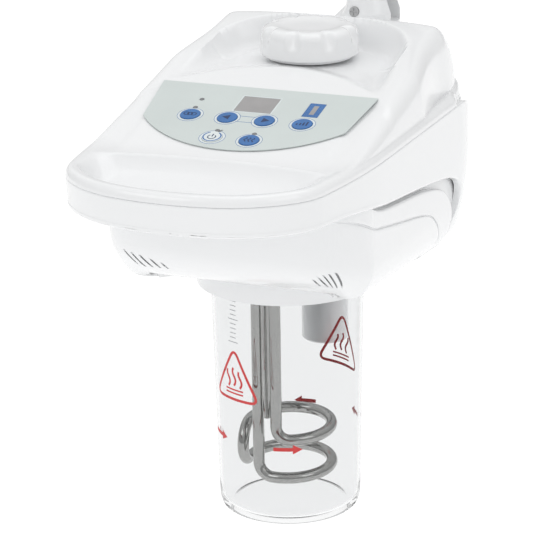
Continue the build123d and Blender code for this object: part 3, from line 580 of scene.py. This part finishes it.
def recess_wall():
    """Wall behind the gap between the side band and the tier below it."""
    levels = (172, 151, 144, 128, 110, 92)
    for side, name in ((1, "recess_wall_right"), (-1, "recess_wall_left")):
        spots = [side * hy(-150 + 200 * k / 60) for k in range(61)]
        verts = [on_head(s, z, 5.6 if z > 149 else 9.5) for z in levels for s in spots]
        mesh_piece(name, verts, grid_faces(len(levels), 61), "recess_grey", thick=1.0)


def rear_skirt():
    """Rear wall below the seam, behind the band's curled end."""
    count, rows = 150, []
    levels = [176.9, 174, 170, 165, 160, 155, 150, 145, 140, 134, 128, 122, 116, 110, 104, 99, 95,
              92, 90, 88.6, 87.8, 87.4]
    edge = np.array(BAND_TOP[9:], float)
    for z in levels:
        front = float(np.interp(-z, -edge[:, 1], edge[:, 0])) - 6.0
        under = 0.0 if z > 88.6 else (0.3 if z > 87.6 else 1.2)
        spots = [front + (HEAD.length - front) * k / (count - 1) for k in range(count)]
        rows.append([(s, z, under + max(1.6 * (s < front + 8), tuck(HEAD.at(s)[1], HEAD.at(s)[3])))
                     for s in spots])
    rows.append([(s, 87.6, extra + 3.0) for s, _, extra in rows[-1]])
    columns = 2 * count - 1
    verts = []
    for row in rows:
        verts += [on_head(s, z, e) for s, z, e in row]
        verts += [on_head(-s, z, e) for s, z, e in reversed(row)][1:]
    mesh_piece("rear_skirt", verts, grid_faces(len(rows), columns), "white_gloss", thick=1.5,
               sharp=40)


TIER_TOP = [(0, 164), (40, 164), (66, 164), (88, 163), (by(-150), 158), (by(-128), 151),
            (by(-76), 145), (by(-40), 140), (by(-14), 136), (by(4), 132), (by(18), 126),
            (by(27), 117), (by(28), 105), (by(25), 94), (by(20), 84)]
TIER_EDGE = [(0, 160), (40, 160), (66, 159), (88, 156), (by(-150), 146.5), (by(-128), 141),
             (by(-76), 134.6), (by(-48), 130.6), (by(-28), 126.2), (by(-14), 121.4),
             (by(-4), 115.6), (by(3), 109.4), (by(7.5), 103), (by(10), 96.5), (by(11), 87)]
TIER_GROOVE = [(0, 150), (40, 149), (66, 147), (88, 142.5), (by(-150), 133.6), (by(-128), 129),
               (by(-85), 121), (by(-66), 117.4), (by(-50), 113.8), (by(-39), 110.2),
               (by(-31), 106), (by(-24), 101.4), (by(-18), 96.4), (by(-13), 91.2),
               (by(-9), 84)]
VENT_XS = [53.8, 59.4, 65.0, 70.5, 76.1]
VENT_HALF, VENT_DEPTH, VENT_LOW, VENT_LEAN = 0.7, 1.6, 92.0, 0.42


def belly_columns():
    """Positions along the lower shell's curves, with extra ones at the edges of each vent."""
    marks = []
    for x in VENT_XS:
        for edge in (-VENT_HALF - 0.2, -VENT_HALF, VENT_HALF, VENT_HALF + 0.2):
            px = x + edge
            past = px - BELLY_FLAT
            marks.append(px if past <= 0
                         else BELLY_FLAT + BELLY_CORNER * np.arcsin(past / BELLY_CORNER))
    plain = [s for s in np.linspace(0, 108, 46) if min(abs(s - m) for m in marks) > 0.7]
    return sorted(plain + marks)


def lower_body():
    """Lower shell's wall with its nested side tiers, groove and vents; returns its lower edge."""
    samples = 1500
    top, tier, groove = (spline(p, samples) for p in (TIER_TOP, TIER_EDGE, TIER_GROOVE))
    front = belly_columns()
    u_front = [float(np.interp(s, groove[:400, 0], np.arange(400))) for s in front]
    places = u_front + list(np.linspace(u_front[-1], samples - 1, 150))[1:]

    def curve(points, u):
        i = min(int(u), samples - 2)
        return points[i] + (points[i + 1] - points[i]) * (u - i)

    curves = []
    for u in places:
        a, b, c = curve(top, u), curve(tier, u), curve(groove, u)
        shown = smoothstep((c[0] - 84) / 40)
        fade = smoothstep((c[0] - 70) / 30)
        end = min(c[0], by(-32))
        column = [(a[0], a[1], 5.0 * shown)]
        for t in (0.25, 0.5, 0.75, 0.93):
            column.append((a[0] + (b[0] - a[0]) * t, a[1] + (b[1] - a[1]) * t,
                           (5.0 + 0.2 * t) * shown))
        way = Vector((a[0] - b[0], a[1] - b[1])).normalized()
        for off, extra in ((0.9, 5.2), (0.15, 5.0), (0.0, 1.8), (-0.3, 1.0), (-0.8, 0.5),
                           (-1.6, 0.25)):
            column.append((b[0] + way[0] * off, b[1] + way[1] * off, extra * shown))
        for t in (0.2, 0.4, 0.6, 0.8):
            column.append((b[0] + (c[0] - b[0]) * t, b[1] + (c[1] - b[1]) * t, 0.25 * shown))
        way = Vector((b[0] - c[0], b[1] - c[1])).normalized()
        for off, extra in ((1.3, 0.2), (0.8, 0.45), (0.55, 1.6), (-0.55, 1.6), (-0.8, 0.45),
                           (-1.3, 0.1)):
            column.append((c[0] + way[0] * off, c[1] + way[1] * off, extra * fade))
        start = (c[0] - way[0] * 1.3, c[1] - way[1] * 1.3)
        for k in range(1, 31):
            t = k / 30
            column.append((start[0] + (end - start[0]) * t,
                           start[1] + (UNDERSIDE_Z - start[1]) * t, 0.0))
        curves.append(column)
    grid = both_sides(list(zip(*curves)))
    verts, marks = [], []
    for row in grid:
        for s, z, extra in row:
            x, y, nx, ny = BELLY.at(s)
            depth = 0.0
            for i, vx in enumerate(VENT_XS):
                high = 97 + 9.0 * i / (len(VENT_XS) - 1)
                if abs(abs(x) - vx) <= VENT_HALF + 0.02 and VENT_LOW < z < high and y < -140:
                    depth = VENT_DEPTH
            near = smoothstep((abs(s) - 30) / 16) * smoothstep((118 - abs(s)) / 20)
            shift = (VENT_LEAN * (106 - z) * near * smoothstep((130 - z) / 20)
                     * smoothstep((z - UNDERSIDE_Z) / 8))
            x, y, nx, ny = BELLY.at(s + shift)
            inset = belly_inset(z, ny) + extra + depth
            x, y = x - nx * inset, y - ny * inset
            verts.append((x * MM, y * MM, (z + sag(y, z)) * MM))
            marks.append(depth > 0)
    columns = len(grid[0])
    faces = grid_faces(len(grid), columns)
    # Faces inside the 1.6 mm vent grooves take slot_dark: the groove gives some real shade, and the
    # darker grey adds painted shade for the vents' dark inside
    slots = [1 if sum(marks[i] for i in f) >= 2 else 0 for f in faces]
    mesh_piece("lower_body", verts, faces, "white_gloss", replaces=("lower_shell",), sharp=34,
               thick=1.4, extra=("slot_dark",), face_slots=slots, merge=0.000004)
    return [verts[(len(grid) - 1) * columns + c] for c in range(columns)]


def underside(front_edge):
    """Bottom of the lower shell round the jar collar, out to the rear skirt, and the rear foot."""
    rim = [(x / MM, y / MM) for x, y, _ in front_edge]
    s0 = BELLY.s_of_y(rim[-1][1])
    tail = []
    for k in range(1, 80):
        s = s0 + (BELLY.length - s0) * k / 79
        x, y, nx, ny = BELLY.at(s)
        tail.append((x - nx * 16, y - ny * 16))
    loop = rim + tail[:-1] + [(0.0, tail[-1][1])] + [(-x, y) for x, y in reversed(tail[:-1])]
    hole = 62.25
    verts, n = [], len(loop)
    for share in (0, 0.25, 0.5, 0.75, 1):
        for x, y in loop:
            angle = atan2(y - JAR_Y, x)
            cx, cy = hole * cos(angle), JAR_Y + hole * sin(angle)
            px, py = x + (cx - x) * share, y + (cy - y) * share
            verts.append((px * MM, py * MM, (UNDERSIDE_Z + sag(py, UNDERSIDE_Z)) * MM))
    mesh_piece("underside", verts, grid_faces(5, n, wrap=True), "white_gloss", thick=-1.4)
    verts, count = [], 120
    for z, extra in ((UNDERSIDE_Z, 16), (79.6, 12.5), (81.5, 9.5), (85, 7.6), (89, 7), (100, 7)):
        for k in range(2 * count + 1):
            s = s0 - 6 + (BELLY.length - s0 + 6) * (1 - abs(k - count) / count)
            x, y, nx, ny = BELLY.at(s if k <= count else -s)
            inset = extra + tuck(y, ny)
            x, y = x - nx * inset, y - ny * inset
            verts.append((x * MM, y * MM, (z + sag(y, z)) * MM))
    mesh_piece("rear_foot", verts, grid_faces(6, 2 * count + 1), "white_gloss", thick=1.4)


top_cover()
side_band()
recess_wall()
rear_skirt()
underside(lower_body())


# ---- filler cap ------------------------------------------------------------------------
def filler_cap():
    """Cap with shallow finger scallops round its upper edge and a dished top."""
    segments, lobes = 256, 8
    profile = [(14, -2.0), (30, -2.0), (30, 0.1), (CAP_R - 0.6, 0.1), (CAP_R - 0.15, 0.35),
               (CAP_R, 0.9), (CAP_R - 0.1, 3), (CAP_R - 0.25, 6), (CAP_R - 0.4, 9),
               (CAP_R - 0.6, 11.5), (CAP_R - 0.8, 13.5), (CAP_R - 1.1, 15), (CAP_R - 1.6, 16.3),
               (CAP_R - 2.4, 17.5), (CAP_R - 3.6, 18.5), (CAP_R - 5.2, 19.2), (CAP_R - 7, 19.5),
               (CAP_R - 9, 19.5), (22.6, 19.3), (20.5, 18.9), (18, 18.5), (14, 18.2), (9, 18.1),
               (4, 18.1), (0, 18.1)]
    verts = []
    for radius, h in profile:
        for k in range(segments):
            angle = 2 * pi * k / segments
            wave = max(0.0, cos(lobes * angle)) ** 1.5
            depth = 4.2 * wave * smoothstep((h - 5) / 12) if radius > 24.7 and h > 0 else 0.0
            r = radius - depth * (1 if radius > 26 else 0.4)
            verts.append((r * cos(angle) * MM, (CAP_Y + r * sin(angle)) * MM, (CAP_Z + h) * MM))
    mesh_piece("cap_body", verts, grid_faces(len(profile), segments, wrap=True), "white_gloss",
               body="cap", replaces=("filler_cap",), sharp=60)


filler_cap()


# ---- arm boot --------------------------------------------------------------------------
BOOT_FOOT, BOOT_CUT = 0.014, 0.0012           # metres: height left alone, step between cuts
BOOT_NECK_R, BOOT_BASE_R, BOOT_BORE_R = 0.0128, 0.0245, 0.0135


def arm_boot():
    """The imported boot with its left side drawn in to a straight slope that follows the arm."""
    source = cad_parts["arm_boot"]
    clean = bmesh.new()
    clean.from_mesh(source.data)
    clean.transform(source.matrix_world)
    low = min(v.co.z for v in clean.verts) + BOOT_FOOT
    for k in range(1, 24):
        everything = clean.verts[:] + clean.edges[:] + clean.faces[:]
        bmesh.ops.bisect_plane(clean, geom=everything, dist=1e-7,
                               plane_co=(0, 0, low + BOOT_CUT * k), plane_no=(0, 0, 1))
    centre_y = (min(v.co.y for v in clean.verts) + max(v.co.y for v in clean.verts)) / 2
    for vert in clean.verts:
        x, y, h = vert.co.x, vert.co.y - centre_y, vert.co.z - low - 0.001
        reach = hypot(x, y)
        if h <= 0 or reach < BOOT_BORE_R:
            continue
        leftward = smoothstep((-x / reach - 0.15) / 0.75)
        target = max(BOOT_NECK_R, BOOT_BASE_R - h)
        if target < reach:
            scale = 1 + (target / reach - 1) * leftward
            vert.co.x, vert.co.y = x * scale, centre_y + y * scale
    clean.verts.ensure_lookup_table()
    verts = [tuple(v.co) for v in clean.verts]
    faces = [tuple(v.index for v in f.verts) for f in clean.faces]
    clean.free()
    mesh_piece("boot_body", verts, faces, "white_gloss", body="boot", replaces=("arm_boot",),
               sharp=35)


arm_boot()


# ---- jar -------------------------------------------------------------------------------
JAR_BOTTOM, JAR_RIM, JAR_TOP_R, JAR_LOW_R = -98.0, 84.0, 52.5, 49.1


def jar_radius(z):
    """Outside radius of the jar's wall."""
    return JAR_LOW_R + (JAR_TOP_R - JAR_LOW_R) * min(1.0, max(0.0, (z - JAR_BOTTOM - 6) / 156))


def jar():
    """Clear jar: thick rounded foot, tapered wall and flat rim."""
    low = JAR_BOTTOM
    outside = [(0, low + 1.6), (36.0, low + 1.6), (38.6, low + 0.8), (40.5, low), (44.0, low),
               (47.4, low + 1.8), (JAR_LOW_R, low + 7)]
    outside += [(jar_radius(z), z) for z in np.linspace(low + 14, JAR_RIM - 20, 12)]
    outside += [(JAR_TOP_R, JAR_RIM)]
    inside = [(JAR_TOP_R - 2.0, JAR_RIM)]
    inside += [(jar_radius(z) - 2.0, z) for z in np.linspace(JAR_RIM - 20, low + 14, 12)]
    inside += [(JAR_LOW_R - 2.6, low + 8), (JAR_LOW_R - 6, low + 4.6), (38, low + 3.8),
               (0, low + 3.8)]
    profile = rounded(outside + inside, 2.2)
    lathe("jar_shell", profile, (0, JAR_Y), "jar_glass", segments=160, body="jar",
          replaces=("glass_jar",), sharp=70)


def on_jar(angle, z, off=0.06):
    """Point on the jar's outside at an angle in degrees, just above the surface."""
    r = jar_radius(z) + off
    return (r * cos(radians(angle)) * MM, (JAR_Y + r * sin(radians(angle))) * MM, z * MM)


def jar_stroke(points, width):
    """Printed line on the jar: a thin raised ribbon through (arc mm, z) points."""
    verts, pts = [], [Vector(p) for p in points]
    for i, here in enumerate(pts):
        along = (pts[min(i + 1, len(pts) - 1)] - pts[max(i - 1, 0)]).normalized()
        across = Vector((-along.y, along.x)) * width / 2
        for side, off in ((1, 0.02), (1, 0.1), (-1, 0.1), (-1, 0.02)):
            p = here + across * side
            r = jar_radius(p.y)
            verts.append(on_jar(p.x / r * 180 / pi, p.y, off))
    faces = grid_faces(len(pts), 4, wrap=True)
    faces += [(0, 1, 2, 3), tuple((len(pts) - 1) * 4 + k for k in range(4))]
    return verts, faces


def resample(points, step=1.0):
    """Points at most step apart along a polyline."""
    out = []
    for a, b in zip(points, points[1:]):
        a, b = Vector(a), Vector(b)
        count = max(1, int((b - a).length / step))
        out += [tuple(a + (b - a) * k / count) for k in range(count)]
    return out + [tuple(points[-1])]


def join_strokes(name, strokes, slot, body="jar"):
    """One piece out of several printed lines."""
    verts, faces = [], []
    for v, f in strokes:
        faces += [tuple(i + len(verts) for i in face) for face in f]
        verts += v
    mesh_piece(name, verts, faces, slot, body=body, sharp=20, merge=0.000001)


ARROW_STEPS, ARROW_HEAD, ARROW_WIDE, SHAFT_WIDE = 24, 0.34, 7.0, 2.7


def jar_prints():
    """Heat symbols, turning arrows and graduation ticks printed on the jar."""
    red = []
    for middle in (-115.0, 64.0):
        arc = radians(middle) * 51
        peak, left, right = (arc, 28.5), (arc - 21, -9), (arc + 21, -9)
        begin = ((peak[0] + left[0]) / 2, (peak[1] + left[1]) / 2)
        ring = rounded([begin, left, right, peak, begin], 7.0)
        red.append(jar_stroke(resample(ring), 2.0))
        for k in (-1, 0, 1):
            wave = [(arc + k * 5.6 + 1.5 * sin(t / 14 * 2 * pi), 1 + t - abs(k) * 1.0)
                    for t in np.linspace(0, 13 - abs(k) * 1.0, 22)]
            red.append(jar_stroke(wave, 1.7))
        for z in (-2.0, -4.6):
            red.append(jar_stroke(resample([(arc - 8.5, z), (arc + 8.5, z)]), 1.2))
    for start, end, z in ((-81.0, -58.0, -40.5), (90.0, 108.0, -42.0), (-150.0, -127.0, -40.0),
                          (30.0, 48.0, -38.0)):
        a, b = radians(start) * 50, radians(end) * 50
        way = 1 if b > a else -1
        for k in range(ARROW_STEPS):
            here = a + (b - a) * k / ARROW_STEPS
            onward = a + (b - a) * (k + 1) / ARROW_STEPS
            left = 1 - (k + 0.5) / ARROW_STEPS
            wide = ARROW_WIDE * left / ARROW_HEAD if left < ARROW_HEAD else SHAFT_WIDE
            red.append(jar_stroke([(here, z), (onward + way * 0.02, z)], wide))
    join_strokes("heat_prints", red, "print_red")
    grey = []
    arc = radians(-116.0) * 51
    for k in range(11):
        long, z = (9.0 if k % 5 == 0 else 5.5), 66 - k * 3.3
        grey.append(jar_stroke(resample([(arc - long / 2, z), (arc + long / 2, z)]), 0.4))
    join_strokes("level_ticks", grey, "print_grey")


jar()
jar_prints()


# ---- heater ----------------------------------------------------------------------------
HEATER_R, COIL_R = 4.0, 29.5
RINGS = [(-68.5, -92.0), (-40.5, -66.0)]          # height, angle where the leg joins
COIL_END, COIL_BEND, TILT = 185.0, 10.0, 1.2


def coil_point(angle, z):
    """Point on a heater ring, which hangs a little lower at the front."""
    return Vector((COIL_R * cos(radians(angle)), JAR_Y + COIL_R * sin(radians(angle)),
                   z + TILT * sin(radians(angle))))


def heater():
    """Bent steel tube: leg, low ring, upright bend, high ring, leg."""
    path = []
    for z, start in RINGS:
        foot = coil_point(start, z)
        heading = (coil_point(start + 1, z) - foot).normalized()
        centre = foot + Vector((0, 0, COIL_BEND))
        part = [Vector((centre - heading * COIL_BEND).xy.to_3d()) + Vector((0, 0, h))
                for h in np.linspace(90, centre.z, 24)]
        for k in range(1, 12):
            turn = pi / 2 * k / 12
            part.append(centre - heading * COIL_BEND * cos(turn)
                        - Vector((0, 0, 1)) * COIL_BEND * sin(turn))
        part += [coil_point(angle, z) for angle in np.linspace(start, COIL_END, 110)]
        path.append(part)
    low_end, high_end = path[0][-1], path[1][-1]
    middle, rise = (low_end + high_end) / 2, (high_end - low_end) / 2
    low_z, reach = RINGS[0][0], rise.length
    onward = (coil_point(COIL_END, low_z) - coil_point(COIL_END - 1, low_z)).normalized()
    bend = [middle - rise * cos(pi * k / 20) + onward * reach * sin(pi * k / 20)
            for k in range(1, 20)]
    points = path[0] + bend + path[1][::-1]
    tube("heater_coil", points, HEATER_R, "polished_steel", replaces=("heater_tube",))


heater()


# ---- control panel graphics ------------------------------------------------------------
FILM = 0.6
KEYS = {"button_ozone": (-39.5, 43.0), "button_time_down": (-13.1, 43.0),
        "button_time_up": (13.1, 43.0), "button_intensity": (39.5, 43.0),
        "button_power": (-12.9, 69.6), "button_vapour": (12.9, 69.6)}
KEY_R = 6.8


def on_panel(x, down, lift):
    """Point over the panel: across, down the slope, and above the cover."""
    y = PANEL_Y - down * cos(SLOPE) - lift * sin(SLOPE)
    z = PANEL_Z - down * sin(SLOPE) + lift * cos(SLOPE)
    return (x * MM, y * MM, z * MM)


def print_shape(loop, lift, height=0.05):
    """Flat printed shape as a thin closed plate; loop is a list of (x, down) points."""
    n = len(loop)
    verts = [on_panel(x, d, z) for z in (lift, lift + height) for x, d in loop]
    faces = [(k, (k + 1) % n, n + (k + 1) % n, n + k) for k in range(n)]
    faces += [tuple(range(n)), tuple(range(2 * n - 1, n - 1, -1))]
    return verts, faces


def print_line(points, width, lift, height=0.05):
    """Printed line through (x, down) points."""
    pts = [Vector(p) for p in points]
    left, right = [], []
    for i, here in enumerate(pts):
        along = (pts[min(i + 1, len(pts) - 1)] - pts[max(i - 1, 0)]).normalized()
        across = Vector((-along.y, along.x)) * width / 2
        left.append(here + across)
        right.append(here - across)
    verts = []
    for a, b in zip(left, right):
        verts += [on_panel(a.x, a.y, lift), on_panel(a.x, a.y, lift + height),
                  on_panel(b.x, b.y, lift + height), on_panel(b.x, b.y, lift)]
    faces = grid_faces(len(pts), 4, wrap=True)
    faces += [(0, 1, 2, 3), tuple((len(pts) - 1) * 4 + k for k in range(4))]
    return verts, faces


def arc_points(x, down, radius, start=0.0, end=360.0, count=48, squash=1.0):
    """Points (x, down) along an arc round a centre; angles in degrees."""
    return [(x + radius * cos(radians(start + (end - start) * k / count)),
             down + radius * squash * sin(radians(start + (end - start) * k / count)))
            for k in range(count + 1)]


def panel_graphics():
    """Halos round the keys, connecting lines and small generic marks on the keys."""
    halos = [print_line(arc_points(x, d, KEY_R + 0.95), 1.25, FILM) for x, d in KEYS.values()]
    join_strokes("key_halos", halos, "key_pale", body="head")
    lines = [print_line([(-6, d), (6, d)], 0.35, FILM) for d in (39.2, 46.6)]
    lines += [print_line(arc_points(x, d, KEY_R + 1.9), 0.25, FILM)
              for x, d in KEYS.values()]
    frame_line = [(-13.6, 11.8), (13.6, 11.8), (13.6, 33.4), (-13.6, 33.4), (-13.6, 11.8)]
    join_strokes("panel_lines", lines, "blue_window", body="head")
    borders = [print_line(resample(frame_line, 3), 0.7, FILM)]
    join_strokes("display_border", borders, "key_pale", body="head")
    bar = print_shape([(-10.4, 59.6), (-9.2, 59.6), (-11.0, 62.8), (-12.2, 62.8)], FILM + 0.21)
    join_strokes("power_tick", [bar], "print_grey", body="head")
    top = FILM + 0.7
    level = print_shape([(38.6, 17.5), (42.0, 17.5), (42.0, 29.3), (38.6, 29.3)], FILM + 0.01, 0.06)
    join_strokes("level_bar", [level], "smoked_window", body="head")
    marks = {
        "button_ozone": [print_line(arc_points(-39.5 + dx, 43.0, 1.7), 0.7, top)
                         for dx in (-2.6, 0.0, 2.6)],
        "button_time_down": [print_shape([(-16.6, 43.0), (-11.6, 40.0), (-11.6, 46.0)], top)],
        "button_time_up": [print_shape([(16.6, 43.0), (11.6, 40.0), (11.6, 46.0)], top)],
        "button_intensity": [print_line([(39.5 + dx, 45.2), (39.5 + dx, 45.2 - h)], 1.1, top)
                             for dx, h in ((-3.3, 2.0), (-1.1, 3.0), (1.1, 4.0), (3.3, 5.0))],
        "button_vapour": [print_line([(12.9 + dx + 0.7 * sin(t * 1.6), 66.9 + t)
                                      for t in np.linspace(0, 5.4, 14)], 0.8, top)
                          for dx in (-2.6, 0.0, 2.6)],
        "button_power": [print_line(arc_points(-12.9, 69.6, 5.9, -60, 240), 0.9, top)],
    }
    for body, shapes in marks.items():
        slot = "blue_window" if body == "button_power" else "print_navy"
        join_strokes("mark_" + body[7:], shapes, slot, body=body)
    power = [print_line([(-12.9, 66.4), (-12.9, 69.8)], 0.8, top),
             print_line(arc_points(-12.9, 70.2, 2.6, -50, 230, 30), 0.7, top)]
    join_strokes("mark_power_sign", power, "print_navy", body="button_power")


panel_graphics()


# ---- studio ----------------------------------------------------------------------------
def studio():
    """White floor far below the head, a pale world and soft lights."""
    floor_z, half = -1.5, 30.0
    mesh = bpy.data.meshes.new("floor")
    count = 9
    verts = [((2 * i / (count - 1) - 1) * half, (2 * j / (count - 1) - 1) * half, floor_z)
             for j in range(count) for i in range(count)]
    mesh.from_pydata(verts, [], grid_faces(count, count))
    floor = bpy.data.objects.new("floor", mesh)
    bpy.context.scene.collection.objects.link(floor)
    material, nodes, links = principled("floor_white")
    shader = nodes["Principled BSDF"]
    shader.inputs["Base Color"].default_value = (0.7, 0.7, 0.7, 1)
    shader.inputs["Roughness"].default_value = 0.8
    shader.inputs["Emission Color"].default_value = (1, 1, 1, 1)
    shader.inputs["Emission Strength"].default_value = 0.5
    material.cycles.emission_sampling = "NONE"
    mesh.materials.append(material)

    world = bpy.data.worlds.new("studio")
    world.use_nodes = True
    bpy.context.scene.world = world
    nodes, links = world.node_tree.nodes, world.node_tree.links
    where = nodes.new("ShaderNodeTexCoord")
    split = nodes.new("ShaderNodeSeparateXYZ")
    links.new(where.outputs["Generated"], split.inputs[0])
    height = nodes.new("ShaderNodeMapRange")
    height.inputs["From Min"].default_value, height.inputs["From Max"].default_value = -0.1, 0.9
    height.inputs["To Min"].default_value, height.inputs["To Max"].default_value = 0.44, 0.92
    links.new(split.outputs["Z"], height.inputs["Value"])
    background = nodes["Background"]
    background.inputs["Color"].default_value = (1, 1, 1, 1)
    links.new(height.outputs["Result"], background.inputs["Strength"])

    def lamp(name, place, aim, size, power):
        data = bpy.data.lights.new(name, "AREA")
        data.shape, data.size, data.size_y, data.energy = "RECTANGLE", size[0], size[1], power
        light = bpy.data.objects.new(name, data)
        light.location = place
        light.rotation_euler = (Vector(aim) - Vector(place)).to_track_quat("-Z", "Y").to_euler()
        bpy.context.scene.collection.objects.link(light)

    middle = (0, -0.08, 0.15)
    lamp("key", (-1.1, -1.9, 1.7), middle, (1.5, 1.0), 6)
    lamp("top", (0.2, 0.3, 2.0), middle, (1.6, 1.6), 6)
    lamp("fill", (1.9, -0.9, 1.5), middle, (1.2, 1.2), 4)
    lamp("rim", (-1.6, 1.2, 1.0), middle, (1.2, 1.6), 1)
    scene = bpy.context.scene
    scene.view_settings.view_transform = "Standard"
    scene.view_settings.look = "None"


studio()
